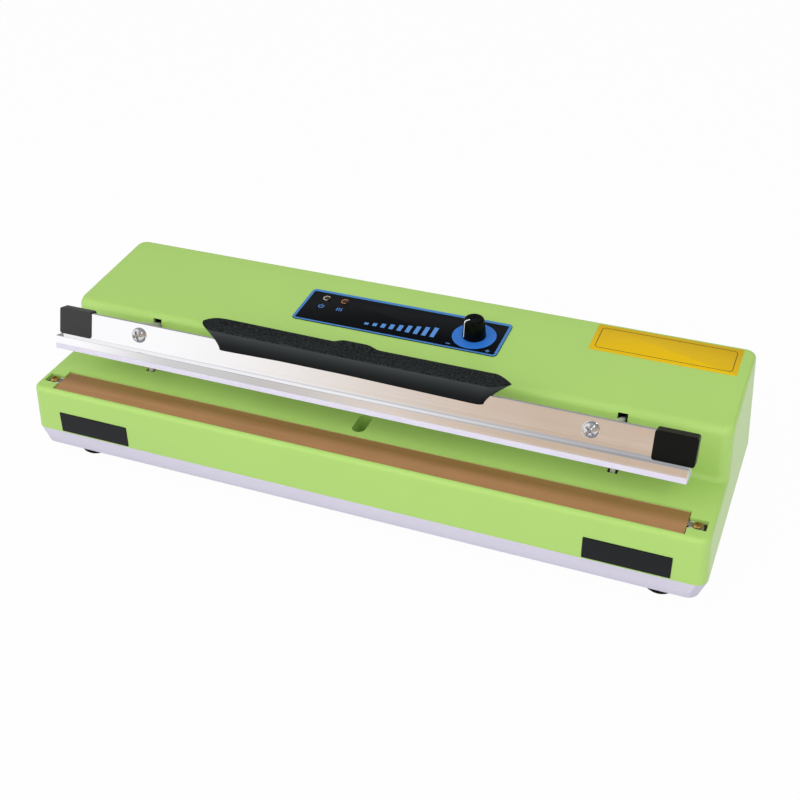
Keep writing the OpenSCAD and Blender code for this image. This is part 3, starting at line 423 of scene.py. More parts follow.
# finishes by kind, each with the values that its function takes after the name
barFront = (0.0, -math.cos(pressAngle), math.sin(pressAngle))  # out of the plate, at rest
footReach = float((meshPoints(frame["nodes"]["press_bar"].data) @ np.array(barFront)).max())
finishes = {
    mouldedPlastic: {
        "casingGreen": (tone(169, 208, 106), 0.4, 0.03, 1200, 0.012, 0.5, 0.25),
        "trayPale": (tone(200, 196, 213), 0.42, 0.03, 1200, 0.012),
        "padBlack": (tone(7, 10, 15), 0.4, 0.12, 1500, 0.02, 0.24),
        # painted light: both end caps are the same black plastic, the left one lighter and the right one
        # darker
        "capGrey": (tone(26, 26, 26), 0.42, 0.12, 1500, 0.02, 0.6),
        "capBlack": (tone(8, 9, 7), 0.42, 0.12, 1500, 0.02, 0.15),
        "knobBlack": (tone(3, 3, 4), 0.26, 0.1, 1800, 0.01, 0.12),
        "rubberBlack": (tone(6, 6, 7), 0.7, 0.1, 900, 0.02, 0.04),
        "zincArm": (tone(188, 190, 178), 0.35, 0.08, 700, 0.02),
        "bedBoard": (tone(196, 190, 178), 0.6, 0.06),
        # painted shade: the terminal blocks' brown plastic is darkened so that their deep pockets look shaded
        "blockBrown": (tone(58, 46, 24), 0.6, 0.1, 900, 0.03, 0.3),
        # painted highlights: pale and amber arcs for the glint on each lamp's rim
        "lampRimPale": (tone(212, 203, 178), 0.35),
        "lampRimAmber": (tone(200, 132, 60), 0.35),
        "partDark": (tone(36, 40, 56), 0.4, 0.1),
        "plungerRed": (tone(190, 36, 30), 0.35),
    },
    drawnMetal: {
        # the last value places the painted reflection on the front of the foot
        "barAluminium": (tone(243, 243, 245), 0.1, (5, 1500, 1500), 0.012,
                         (barFront, footReach - 0.15 * mm)),
        "platedSteel": (tone(196, 196, 192), 0.32, (120, 120, 900)),
        "brightScrew": (tone(214, 214, 216), 0.1, (90, 90, 90), 0.002),
        "springWire": (tone(150, 150, 156), 0.3, (400, 400, 60)),
        "bushBrass": (tone(206, 170, 92), 0.28, (500, 60, 60)),
        "heatingAlloy": (tone(190, 182, 170), 0.3),
        "coreIron": (tone(84, 84, 88), 0.5, (60, 900, 60)),
    },
    softRubber: {
        "siliconeWhite": (tone(213, 209, 224), 0.45, 0.008, 0.15),
        "leadRed": (tone(176, 36, 30), 0.4),
    },
    coatedCloth: {
        "tapeBrown": (tone(184, 136, 90), tone(154, 112, 70), tone(138, 101, 52)),
        "insulatingCloth": (tone(214, 204, 180), tone(188, 176, 150)),
        "windingWrap": (tone(206, 170, 60), tone(180, 142, 40)),
    },
    printedInk: {
        "panelBlack": (tone(4, 7, 12), 0.34, 0.08),
        "panelBlue": (tone(66, 126, 188), 0.36, 0.3),
        "dialBlue": (tone(46, 116, 206), 0.36, 0.3),
        "markBlue": (tone(82, 138, 208), 0.4, 0.3),
        "plateYellow": (tone(220, 180, 8), 0.4, 0.15),
        "plateLine": (tone(74, 62, 22), 0.5),
        "whiteInk": (tone(240, 240, 240), 0.4),
        "boardGreen": (tone(30, 92, 46), 0.35),
    },
    tintedLens: {"lampAmber": (tone(40, 24, 16),), "lampRed": (tone(38, 14, 12),)},
    grainedGrip: {"gripBlack": (tone(66, 71, 73), tone(46, 51, 52))},
}
finish = {name: maker(name, *values) for maker, rows in finishes.items() for name, values in rows.items()}
print("finishes made:", len(finish))

# small departures of copied nodes from their solids: an end cap's left end, right end, front and lower edge,
# a pad's lip, and where an arm's upper edge bends and by how much it rises there
fit = {"capLeft": (0, 1.5 * mm, 1.0 * mm, 0.2 * mm), "capRight": (-0.7 * mm, 1.0 * mm, 2.2 * mm, 0),
       "padMore": 0.8 * mm, "armBend": (-24.5 * mm, 66.4 * mm), "armLift": (1.5 * mm, 2.5 * mm),
       "armNear": 1 * mm}


def thicker(points):
    # an end cap's two ends move along the bar, its front stands out over the foot, its lower edge rises
    p = turnX(points, pressAngle, pivot)
    middle = spanOf(p)[2]
    leftEnd, rightEnd, thick, short = fit["capLeft"] if middle[0] < 0 else fit["capRight"]
    p[:, 0] += np.where(p[:, 0] < middle[0], leftEnd, rightEnd)
    p[:, 1] -= (p[:, 1] < middle[1]) * thick
    p[:, 2] += (p[:, 2] < middle[2]) * short
    return toRest(p)


def lipped(points):
    # a pad's lip covers the right and upper edge of its recess
    return points + (points > spanOf(points)[2]) * [fit["padMore"], 0, fit["padMore"]]


def bent(points):
    # an arm's upper edge runs nearer to the top of its slot
    near = np.linalg.norm(points[:, 1:] - fit["armBend"], axis=1) < fit["armNear"]
    return points + near[:, None] * np.array([0, *fit["armLift"]])


# pieces that keep the node's own shape: piece, finish, slot, edge radius, departure
shells = {
    "upper_casing": ("casing", "casingGreen", "green_plastic", 0.45 * mm, None),
    "base_tray": ("baseTray", "trayPale", "pale_plastic", 0.8 * mm, None),
    "front_pad_left": ("frontPadLeft", "padBlack", "black_plastic", 0.5 * mm, lipped),
    "front_pad_right": ("frontPadRight", "padBlack", "black_plastic", 0.5 * mm, lipped),
    "cord_inlet": ("cordInlet", "rubberBlack", "black_rubber", 0.3 * mm, None),
    "silicone_strip": ("silicone", "siliconeWhite", "white_silicone", 0.4 * mm, None),
    # the two caps carry painted light and painted shade
    "end_cap_left": ("endCapLeft", "capGrey", "black_plastic", 0.5 * mm, thicker),
    "end_cap_right": ("endCapRight", "capBlack", "black_plastic", 0.35 * mm, thicker),
    "arm_left": ("armLeft", "zincArm", "plated_steel", 0.3 * mm, bent),
    "arm_right": ("armRight", "zincArm", "plated_steel", 0.3 * mm, bent),
    "bar_nuts": ("barNuts", "brightScrew", "screw_steel", 0.2 * mm, None),
    # brown plastic darkened as painted shade
    "terminal_blocks": ("terminalBlocks", "blockBrown", "brown_plastic", 0.2 * mm, None),
}
for node, (name, material, slot, edge, reshape) in shells.items():
    piece = nodeCopy(node, name, material, edge, reshape)
    piece.visible_glossy = reshape != thicker  # the satin foot is too dull to mirror the caps

# pressing bar: an extruded section, an upright plate on a foot with a groove under it
bar = {"plateAt": 8 * mm, "plate": 2.4 * mm, "foot": 4.8 * mm, "lip": 1.7 * mm, "groove": 2.6 * mm,
       "footRound": 0.4 * mm, "plateRound": 0.3 * mm, "cove": 0.3 * mm, "flare": 2.8 * mm, "flareTurn": 16,
       "straight": 0.2 * mm, "ends": 0.2 * mm, "endShare": 0.985}


def arcPoints(centre, radius, start, stop, steps=8):
    a = np.radians(np.linspace(start, stop, steps))
    return np.stack([centre[0] + radius * np.cos(a), centre[1] + radius * np.sin(a)], -1)


def barSection(low, high):
    # the whole outline in y and z: from the groove round the foot's front, up the plate's flared front and
    # over its top, down its back and round the foot's back to the groove
    depth, height = high[1] - low[1], high[2] - low[2]
    r, c, e = bar["footRound"], bar["cove"], bar["plateRound"]
    front, foot, lip, groove = bar["plateAt"], bar["foot"], bar["lip"], bar["groove"]
    back, flareTop = front + bar["plate"], foot + bar["flare"]
    bend = bar["flare"] / math.sin(math.radians(bar["flareTurn"]))
    return np.concatenate([
        [[lip, groove], [lip, 0], [0, 0]],
        arcPoints((r, foot - r), r, 180, 90),
        arcPoints((front - bend, flareTop), bend, -bar["flareTurn"], 0, 7),
        [[front, flareTop + bar["straight"]]],
        arcPoints((front + e, height - e), e, 180, 90, 4),
        arcPoints((back - e, height - e), e, 90, 0, 4),
        arcPoints((back + c, foot + c), c, 180, 270, 4),
        arcPoints((depth - r, foot - r), r, 90, 0),
        [[depth, 0], [depth - lip, 0], [depth - lip, groove]],
    ]) + low[1:]


def barExtrusion():
    # the section carried along X, its end faces broken by a small chamfer
    low, high = pressedBox("press_bar")[:2]
    section = barSection(low, high)
    middle = spanOf(section)[2]
    e, share = bar["ends"], bar["endShare"]
    rings = []
    for x, size in ((low[0], share), (low[0] + e, 1), (high[0] - e, 1), (high[0], share)):
        ring = middle + (section - middle) * size
        rings.append(np.column_stack([np.full(len(ring), x), ring]))
    return tubeOf(toRest(np.array(rings)))


newPiece("bar", barExtrusion(), "press", "barAluminium", ["press_bar"], sharp=8)
plateFront = pressedBox("press_bar")[0][1] + bar["plateAt"]  # when it is pressed down

# pieces inside the housing and small fasteners keep their node and get a finish
inner = {
    "brightScrew": ["casing_screws", "board_screws", "potentiometer_nut", "strap_screws", "strap_nuts",
                    "clevis_screws", "clevis_nuts", "switch_screws", "handle_screws"],
    "platedSteel": ["potentiometer", "transformer_strap", "clevis_left", "clevis_right", "pivot_pins",
                    "knob_spindle"],
    "bedBoard": ["heating_bed"],
    "insulatingCloth": ["insulating_strip"],
    "heatingAlloy": ["heating_wire"],
    "boardGreen": ["circuit_board"],
    "partDark": ["board_components", "microswitch"],
    "coreIron": ["transformer_core"],
    "windingWrap": ["transformer_winding"],
    "bushBrass": ["arm_bushes"],
    "leadRed": ["lead_wires"],
    "plungerRed": ["switch_plunger"],
}
for material, nodes in inner.items():
    for node in nodes:
        held = frame["nodes"][node].data.materials
        held.clear()
        held.append(finish[material])

# rubber feet: discs that bulge a little under the weight
feet = {"spare": 3.2 * mm, "swell": 0.4, "sides": 48, "rows": 11}


def footDiscs():
    # four discs, each where its foot is
    points = meshPoints(frame["nodes"]["rubber_feet"].data)
    right, rear = (points > spanOf(points)[2]).T[:2]
    turns = np.linspace(-math.pi / 2, math.pi / 2, feet["rows"])[:, None]
    discs = []
    for onRight, atRear in ((False, False), (True, False), (False, True), (True, True)):
        low, high, middle = spanOf(points[(right == onRight) & (rear == atRear)])
        half = (high - low) / 2
        swell = half[2] * feet["swell"]
        r = half[0] - swell + (feet["spare"] + swell) * np.cos(turns)
        discs.append(tubeOf(polar(r, circle(feet["sides"]), middle[2] + half[2] * np.sin(turns), middle)))
    return joined(*discs)


newPiece("feet", footDiscs(), "housing", "rubberBlack", ["rubber_feet"], sharp=50)
print("nodes dressed:", len(shells), "copied,", sum(map(len, inner.values())), "painted")

# release tape: level at both long edges, lifted over the heating wire, with slow ripples along it; darker
# behind the wire as painted shade, and paler within a cut's reach of its edges
tape = {"ridge": 5.0 * mm, "ripple": 0.05 * mm, "columns": 240, "rows": 61, "thickness": 0.22 * mm,
        "spare": 0.05 * mm, "shadeFrom": 0.35, "shadeOver": 7 * mm, "frontCut": 0.7 * mm,
        "backCut": 0.5 * mm}


def tapeSheet():
    # height = bed + lift * smooth hump across the width + a sum of slow sines along it
    low, high, middle = nodeBox("release_tape")
    across = np.linspace(low[1] + tape["spare"], high[1] - tape["spare"], tape["rows"])
    along = np.linspace(low[0], high[0], tape["columns"])
    x, y = np.meshgrid(along, across, indexing="ij")
    hump = np.exp(-np.abs((y - middle[1]) / tape["ridge"]) ** 2.2)
    wave = np.sin(x * 61 + 3 * hump) + 0.6 * np.sin(x * 143 + y * 160) + 0.4 * np.sin(x * 260 - y * 300)
    lift = high[2] - low[2] - tape["thickness"]
    top = low[2] + tape["thickness"] + (lift - tape["ripple"] * 2) * hump
    top = top + tape["ripple"] * wave * (0.3 + 0.7 * hump)
    upper = np.stack([x, y, np.minimum(top, high[2])], -1)
    lower = upper - [0, 0, tape["thickness"]]
    return tubeOf(np.concatenate([upper[:, ::-1], lower], 1))


tapePiece = newPiece("tape", tapeSheet(), "housing", "tapeBrown", ["release_tape"])
tapeY = meshPoints(tapePiece.data)[:, 1]
tapeFront, tapeBack, tapeMiddle = [corner[1] for corner in nodeBox("release_tape")]
# painted shade on the tape's half behind the wire
markPoints(tapePiece, "back", np.clip((tapeY - tapeMiddle) / tape["shadeOver"] + tape["shadeFrom"], 0, 1))
markPoints(tapePiece, "cut", np.clip(1.3 - (tapeY - tapeFront) / tape["frontCut"], 0, 1)
           + 0.6 * np.clip(1.2 - (tapeBack - tapeY) / tape["backCut"], 0, 1))
print("tape laid")

# handle: rings that flare from the plate to a wide top with pointed ends
grip = {"foot": 85.8 * mm, "tip": 99.4 * mm, "wall": 3 * mm, "topDepth": 16 * mm, "frontRise": 13 * mm,
        "backRise": 16 * mm, "swell": 2.1 * mm, "swellHalf": 12 * mm, "flare": 2.2, "endFlare": 1.5,
        "footPower": 60.0, "topPower": 30.0, "point": 11 * mm, "pointPower": 1.4, "rim": 0.8 * mm,
        "rimSteps": 7, "columns": 160, "rows": 28, "across": 15, "dip": 0.5 * mm, "lean": 2 * mm,
        "footBow": 1.35 * mm, "topSkew": 0.9 * mm, "grainBelow": 1.1 * mm, "grainFade": 0.5 * mm}


def gripRidge(share):
    # height of the ridge by the share of the way from front to back
    return grip["frontRise"] + (grip["backRise"] - grip["frontRise"]) * share


def gripLoft():
    # ring at t: x = halfLength * s, y = middle + halfDepth * side, where side = 1 - |s|^power on the back and
    # the same with a minus on the front; depths and powers go from foot to top with t^flare, lengths with
    # t^endFlare; at the right the top comes to a point, at the left it rises; the foot line is bowed a little
    low, _, centre = pressedBox("handle")
    s = -np.cos(np.linspace(0, math.pi, grip["columns"] + 1))[None, :]
    turns = np.linspace(0, math.pi / 2, grip["rimSteps"])[1:]
    flat = np.zeros(grip["rows"])
    t = np.concatenate([np.linspace(0, 1, grip["rows"]), np.ones_like(turns)])[:, None]
    inset = np.concatenate([flat, grip["rim"] * (1 - np.cos(turns))])[:, None]
    lift = np.concatenate([flat, grip["rim"] * np.sin(turns)])[:, None]
    f = t ** grip["flare"]
    footDepth = bar["plate"] + 2 * grip["wall"]
    halfLength = grip["foot"] + (grip["tip"] - grip["foot"]) * t ** grip["endFlare"] - inset
    halfDepth = (footDepth + (grip["topDepth"] - footDepth) * f) / 2 - inset
    middle = plateFront + bar["plate"] / 2 + grip["lean"] * f
    power = grip["footPower"] + (grip["topPower"] - grip["footPower"]) * f
    blunt = 1 - np.abs(s) ** power
    pointed = 1 - np.maximum(1 - halfLength * (1 - s) / grip["point"], 0) ** grip["pointPower"]
    edge = np.where(s > 0, blunt + (pointed - blunt) * f, blunt)
    bow = np.clip(1 - s, 0, 1) * (0.3 + 0.7 * np.clip(2 * (s + 1), 0, 1))
    shared = lift + grip["footBow"] * bow * (1 - t) + grip["topSkew"] * np.clip(-s, 0, 1) * t
    swell = grip["swell"] * np.exp(-np.abs(halfLength * s / grip["swellHalf"]) ** 6) * f

    def line(sign):
        side = sign * edge
        up = (gripRidge(0.5 + 0.5 * side) - grip["rim"]) * t + shared + swell * (0.5 + 0.5 * sign)
        return np.stack([centre[0] + halfLength * s, middle + halfDepth * side, low[2] + up], -1)

    front, back = line(-1), line(1)
    share = np.linspace(0, 1, grip["across"])[None, :, None]
    topFace = front[-1][:, None] * (1 - share) + back[-1][:, None] * share
    topFace[..., 2] -= grip["dip"] * np.sin(math.pi * share[..., 0]) ** 2
    underFace = front[0][:, None] * (1 - share) + back[0][:, None] * share
    return joined(*[sheetOf(toRest(p)) for p in (front, back, topFace, underFace)])


gripPiece = newPiece("grip", gripLoft(), "press", "gripBlack", ["handle"], sharp=50)
gripPoints = turnX(meshPoints(gripPiece.data), pressAngle, pivot) - pressedBox("handle")[0]
overRidge = gripPoints[:, 2] - gripRidge(gripPoints[:, 1] / grip["topDepth"])
markPoints(gripPiece, "grain", np.clip((overRidge + grip["grainBelow"]) / grip["grainFade"], 0, 1))
# painted shade on the handle's front, darker towards the lower edge
markPoints(gripPiece, "ridgeLight", np.clip(gripPoints[:, 2] / grip["frontRise"], 0, 1) ** 2.0)
print("handle made")

# pan-head screws with a cross recess, whose sizes are shares of the head's radius and height
screw = {"rings": 40, "spokes": 96, "recessDepth": 0.8, "armWidth": 0.15, "armReach": 0.6, "core": 0.3,
         "soft": 0.06, "chamfer": 0.4 * mm, "barHead": 1.09, "barShank": 2 * mm, "barSpins": (0.35, 0.9),
         "terminalShank": 1.5 * mm}


def panHead(radius, height, shank, length):
    # polar grid: height = h * (1 - r^2.5)^0.5, less a cross whose arms are |x| or |y| narrower than armWidth
    r = np.linspace(0, 1, screw["rings"])[:, None]
    a = circle(screw["spokes"])
    x, y = r * np.cos(a), r * np.sin(a)
    dome = np.maximum(1 - r ** 2.5, 0) ** 0.5
    narrow = np.minimum(np.abs(x), np.abs(y))
    far = np.maximum(np.abs(x), np.abs(y))
    wall = np.clip((screw["armWidth"] - narrow) / (0.3 * screw["armWidth"]), 0, 1)
    wall = wall * np.clip((screw["armReach"] - far) / screw["soft"], 0, 1)
    core = np.clip((screw["core"] - np.abs(x) - np.abs(y)) / screw["soft"], 0, 1)
    z = dome * height - np.maximum(wall, core) * screw["recessDepth"] * height * (1.15 - far)
    head = np.stack([x * radius, y * radius, z], -1)
    stem = np.array([[radius, 0], [shank, 0], [shank, -length + screw["chamfer"]], [shank * 0.7, -length],
                     [0, -length]])
    return joined(sheetOf(head, wrapColumns=True),
                  sheetOf(polar(stem[:, :1], a, stem[:, 1:]), wrapColumns=True))


def barScrewParts():
    # one at each end of the bar, each turned its own way
    low, high, middle = pressedBox("bar_screws")
    radius = (high[2] - low[2]) / 2
    points, faces = panHead(radius * screw["barHead"], plateFront - low[1], screw["barShank"],
                            high[1] - plateFront)
    parts = []
    for sign, spin in zip((-1, 1), screw["barSpins"]):
        c, s = math.cos(spin), math.sin(spin)
        x, z = points[:, 0] * c - points[:, 1] * s, points[:, 0] * s + points[:, 1] * c
        placed = np.stack([sign * (high[0] - radius) + x, plateFront - points[:, 2], middle[2] + z], -1)
        parts.append((toRest(placed), faces))
    return joined(*parts)


def terminalScrewParts():
    # one on each end of the heating wire
    low, high, middle = nodeBox("terminal_screws")
    seat = nodeBox("heating_wire")[1][2]
    radius = (high[1] - low[1]) / 2
    points, faces = panHead(radius, high[2] - seat, screw["terminalShank"], seat - low[2])
    return joined(*[(points + [sign * (high[0] - radius), middle[1], seat], faces) for sign in (-1, 1)])


newPiece("barScrews", barScrewParts(), "press", "brightScrew", ["bar_screws"], sharp=30)
newPiece("terminalScrews", terminalScrewParts(), "housing", "bushBrass", ["terminal_screws"],
         sharp=30)

# wire terminals: a tab under the end of the wire, round where its screw is
tab = {"width": 6.6 * mm, "edge": 0.15 * mm, "screwHalf": 2.9 * mm, "steps": 25}


def terminalTab(node):
    # half a stadium: straight sides from the tape's end, a half circle round the screw
    low, high, middle = nodeBox(node)
    centreX = nodeBox("terminal_screws")[1][0] - tab["screwHalf"]
    start = min(abs(low[0]), abs(high[0])) - centreX
    r, e = tab["width"] / 2, tab["edge"]
    a = np.linspace(-math.pi / 2, math.pi / 2, tab["steps"])
    x = np.concatenate([[start], r * np.cos(a), [start]])
    y = np.concatenate([[-r], r * np.sin(a), [r]])
    rows = []
    for inset, z in ((0, low[2]), (0, high[2] - e), (e, high[2])):
        share = 1 - inset / r
        rows.append(np.stack([np.sign(middle[0]) * (centreX + x * share), middle[1] + y * share,
                              np.full_like(x, z)], -1))
    return tubeOf(np.array(rows))


for end in ("left", "right"):
    newPiece("terminal" + end.title(), terminalTab("terminal_" + end), "housing", "zincArm",
             ["terminal_" + end])
print("screws turned")

# timer knob: a fluted, slightly tapered cap with a pointer line
knob = {"flutes": 40, "fluteDepth": 0.14 * mm, "edge": 1.8 * mm, "taper": 0.9 * mm, "dish": 0.35 * mm,
        "low": 1.0 * mm, "high": 13.8 * mm, "spare": 0.6 * mm, "bore": 5.9 * mm, "sides": 320,
        "fluteFoot": (1.6 * mm, 0.6 * mm), "fluteTop": (0.2 * mm, 1.2 * mm),
        "rows": 12, "edgeSteps": 9, "topSteps": 8,
        "pointerAngle": 225.0, "pointerWidth": 0.9 * mm, "pointerRows": (2, 25), "pointerOut": 0.06 * mm,
        "pointerUp": 0.03 * mm, "pointerSink": 0.2 * mm}


def knobProfile():
    # radius and height from the skirt up the side, round the edge and in to the middle
    low, high = nodeBox("timer_knob")[:2]
    radius = (high[0] - low[0]) / 2 + knob["spare"]
    edge, foot = knob["edge"], knob["low"]
    shoulder, top = knob["high"] - edge, radius - knob["taper"]
    turns = np.linspace(0, math.pi / 2, knob["edgeSteps"])
    up = np.linspace(foot, shoulder, knob["rows"])
    side = radius - knob["taper"] * (up - foot) / (shoulder - foot)
    inward = np.linspace(0, 1, knob["topSteps"])[1:]
    r = np.concatenate([[knob["bore"]], side, top - edge * (1 - np.cos(turns)), (top - edge) * (1 - inward)])
    z = np.concatenate([[foot], up, shoulder + edge * np.sin(turns),
                        knob["high"] - knob["dish"] * inward ** 2])
    return r, z


def knobBody():
    # radius(profile, angle) less a cosine flute that fades out on the top and at the skirt
    r, z = knobProfile()
    a = circle(knob["sides"])
    (foot, footFade), (top, topFade) = knob["fluteFoot"], knob["fluteTop"]
    fade = np.clip((z - foot) / footFade, 0, 1) * np.clip((knob["high"] - top - z) / topFade, 0, 1)
    fade[-knob["topSteps"]:] = 0
    radius = r[:, None] - knob["fluteDepth"] * fade[:, None] * (0.5 + 0.5 * np.cos(knob["flutes"] * a))
    return sheetOf(onTop(polar(radius, a, z[:, None], (knobFoot[0], 0))), wrapColumns=True)


def knobPointer():
    # a thin band that follows the profile from low on the side over the edge on to the top
    start, stop = knob["pointerRows"]
    r, z = [line[start:stop, None] for line in knobProfile()]
    r, z = r + knob["pointerOut"], z + knob["pointerUp"]
    across = np.linspace(-0.5, 0.5, 4)[None, :] * knob["pointerWidth"]
    a = math.radians(knob["pointerAngle"])
    c, s = math.cos(a), math.sin(a)
    outer = np.stack([r * c - across * s, r * s + across * c, z + 0 * across], -1)
    under = outer * [0.97, 0.97, 1] - [0, 0, knob["pointerSink"]]
    return tubeOf(onTop(np.concatenate([outer, under[:, ::-1]], 1) + [knobFoot[0], 0, 0]))


newPiece("knob", knobBody(), "knob", "knobBlack", ["timer_knob"], sharp=60)
newPiece("knobPointer", knobPointer(), "knob", "whiteInk")
print("knob turned")

# control panel film with its printing, and the blank plate at the right
panel = {"width": 139.6 * mm, "depth": 36 * mm, "front": -16.9 * mm, "corner": 3 * mm, "thickness": 0.5 * mm,
         "edge": 0.15 * mm, "border": 2.0 * mm, "forward": 0.5 * mm, "disc": 14.0 * mm, "discHole": 3.7 * mm,
         "ink": 0.03 * mm, "sink": 0.005 * mm, "leastCorner": 0.05 * mm, "bevel": 0.12 * mm,
         "sides": 72, "cornerSteps": 10}
plate = {"left": 120.5 * mm, "right": 210.5 * mm, "front": 9.7 * mm, "back": 37.4 * mm, "corner": 0.8 * mm,
         "foot": 0.01 * mm, "thickness": 0.16 * mm, "lineInset": 3 * mm, "line": 0.45 * mm,
         "lineCorner": 2.5 * mm}


def outline(width, depth, corner, inset):
    # a rectangle with round corners, drawn in by inset: corner arcs joined by straight sides
    c = max(corner - inset, panel["leastCorner"])
    w, d = width / 2 - inset - c, depth / 2 - inset - c
    corners = [(w, d), (-w, d), (-w, -d), (w, -d)]
    steps = panel["cornerSteps"]
    return np.concatenate([arcPoints(p, c, 90 * k, 90 * k + 90, steps) for k, p in enumerate(corners)])


def filmPoints(shape, profile, centre):
    # the outline carried through a profile of inset, height and shift to the front
    rows = []
    for inset, height, shift in profile:
        line = outline(*shape, inset) + centre - [0, shift]
        rows.append(np.column_stack([line, np.full(len(line), height)]))
    return onTop(np.array(rows))


def film(shape, thickness, centre, base=0.0):
    # a flat film with a small bevel round its top
    e = min(panel["bevel"], thickness / 2)
    top = base + thickness
    return tubeOf(filmPoints(shape, [(0, base, 0), (0, top - e, 0), (e, top, 0)], centre))


def inkFrame(shape, start, stop, foot, centre, forward=0.0):
    # a closed band between two insets of the outline
    top = foot + panel["ink"]
    profile = [(start, foot, 0), (start, top, 0), (stop, top, forward), (stop, foot, forward)]
    return sheetOf(filmPoints(shape, profile, centre), wrapRows=True, wrapColumns=True)


def inkRing(centre, inside, outside, angles):
    # four lines round a flat band between two radii
    top = inkFoot + panel["ink"]
    profile = np.array([[inside, inkFoot], [inside, top], [outside, top], [outside, inkFoot]])
    return onTop(polar(profile[:, :1], angles, profile[:, 1:], centre))


inkFoot = panel["thickness"] - panel["sink"]
panelShape = (panel["width"], panel["depth"], panel["corner"])
panelCentre = np.array([0.0, panel["front"] + panel["depth"] / 2])
newPiece("panelFilm", film(panelShape, panel["thickness"], panelCentre), "housing", "panelBlack",
         ["control_panel"], sharp=50)
newPiece("panelBorder", inkFrame(panelShape, panel["edge"], panel["border"], inkFoot, panelCentre,
                                 panel["forward"]), "housing", "panelBlue")
dialRing = inkRing((knobFoot[0], 0), panel["discHole"], panel["disc"], circle(panel["sides"]))
newPiece("dialDisc", sheetOf(dialRing, True, True), "housing", "dialBlue")

plateCentre = np.array([(plate["left"] + plate["right"]) / 2, (plate["front"] + plate["back"]) / 2])
plateSize = (plate["right"] - plate["left"], plate["back"] - plate["front"])
newPiece("blankPlate", film((*plateSize, plate["corner"]), plate["thickness"], plateCentre, plate["foot"]),
         "housing", "plateYellow", sharp=50)
newPiece("plateLine", inkFrame((*plateSize, plate["lineInset"] + plate["lineCorner"]), plate["lineInset"],
                               plate["lineInset"] + plate["line"],
                               plate["foot"] + plate["thickness"] - panel["sink"], plateCentre),
         "housing", "plateLine")

# plain marks: low and high signs beside the dial, a ring and a bar under one lamp, three bars under the
# other, and a row of bars that grows towards the dial
signs = {"arm": 2.8 * mm, "bar": 0.75 * mm, "aside": 12.96 * mm, "below": 12.636 * mm, "down": 9.5 * mm,
         "ring": 1.7 * mm, "ringFrom": 125, "ringTo": 415, "ringSteps": 30, "stroke": 0.6 * mm,
         "heatPitch": 1.5 * mm, "steps": 9, "pitch": 5.6 * mm, "stepWidth": 2.9 * mm, "first": -20 * mm,
         "foot": -9.5 * mm, "low": 2.2 * mm, "grow": 1.05 * mm, "corner": 0.1 * mm}


def signBar(centre, length, width):
    return film((length, width, signs["corner"]), panel["ink"], np.array(centre), inkFoot)


def powerRing(centre):
    # an open ring
    angles = np.radians(np.linspace(signs["ringFrom"], signs["ringTo"], signs["ringSteps"]))[None, :]
    half = signs["stroke"] / 2
    points = inkRing(centre, signs["ring"] - half, signs["ring"] + half, angles)
    return joined(sheetOf(points, wrapRows=True), ringCap(points[:, 0]), ringCap(points[:, -1]))


def lampPlace(node):
    # a lamp's middle in the panel's own x and y
    middle = nodeBox(node)[2]
    return np.array([middle[0], (middle[1] - knobFoot[1]) / math.cos(topTilt)])


def panelMarks():
    lowPlace, highPlace = [(knobFoot[0] + k * signs["aside"], -signs["below"]) for k in (-1, 1)]
    arm, thin = signs["arm"], signs["bar"]
    powerPlace, workPlace = [lampPlace(k) - [0, signs["down"]] for k in ("power_lamp", "work_lamp")]
    heatBars = [signBar(workPlace + [k * signs["heatPitch"], 0], signs["stroke"], signs["ring"] * 2)
                for k in (-1, 0, 1)]
    stepBars = []
    for k in range(signs["steps"]):
        high = signs["low"] + signs["grow"] * k
        place = (signs["first"] + k * signs["pitch"], signs["foot"] + high / 2)
        stepBars.append(signBar(place, signs["stepWidth"], high))
    return joined(signBar(lowPlace, arm, thin), signBar(highPlace, arm, thin), signBar(highPlace, thin, arm),
                  powerRing(powerPlace),
                  signBar(powerPlace + [0, signs["ring"] * 0.8], signs["stroke"], signs["ring"] * 1.5),
                  *heatBars, *stepBars)


newPiece("panelMarks", panelMarks(), "housing", "markBlue")

# lamps: a dark domed lens, and a pale arc round it, a painted highlight on its rim
lamp = {"lens": 2.4 * mm, "skirt": 0.3 * mm, "dome": 0.35 * mm, "rim": 2.3 * mm, "rimWire": 0.28 * mm,
        "rimUp": 0.15 * mm, "from": 40, "to": 305, "steps": 40, "sides": 48, "rows": 12, "rimSides": 10}


def lampLens(node):
    # a spherical cap on a short skirt that stands on the film
    t = np.linspace(0, math.pi / 2, lamp["rows"])
    r = np.concatenate([[lamp["lens"]], lamp["lens"] * np.cos(t)])[:, None]
    z = np.concatenate([[0], lamp["skirt"] + lamp["dome"] * np.sin(t)])[:, None] + panel["thickness"] * 0.5
    return sheetOf(onTop(polar(r, circle(lamp["sides"]), z, lampPlace(node))), wrapColumns=True)


def lampGlint(node):
    # part of a ring with a round section, thinner at both ends: a painted highlight
    a = np.radians(np.linspace(lamp["from"], lamp["to"], lamp["steps"]))[:, None]
    b = circle(lamp["rimSides"])
    wire = lamp["rimWire"] * (0.35 + 0.65 * np.sin(np.linspace(0, math.pi, lamp["steps"])) ** 0.5)[:, None]
    z = panel["thickness"] + lamp["rimUp"] + wire * np.sin(b)
    return tubeOf(onTop(polar(lamp["rim"] + wire * np.cos(b), a, z, lampPlace(node))))


newPiece("powerLens", lampLens("power_lamp"), "housing", "lampAmber", ["power_lamp"])
newPiece("workLens", lampLens("work_lamp"), "housing", "lampRed", ["work_lamp"])
# painted highlights on the lamp rims
newPiece("powerGlint", lampGlint("power_lamp"), "housing", "lampRimPale")
newPiece("workGlint", lampGlint("work_lamp"), "housing", "lampRimAmber")
print("panel printed, lamps set")

# return springs: hook, coils and hook as one round wire
spring = {"radius": 3.4 * mm, "wire": 0.6 * mm, "coils": 8, "sides": 12, "perCoil": 28, "hook": (150, 8, 14)}


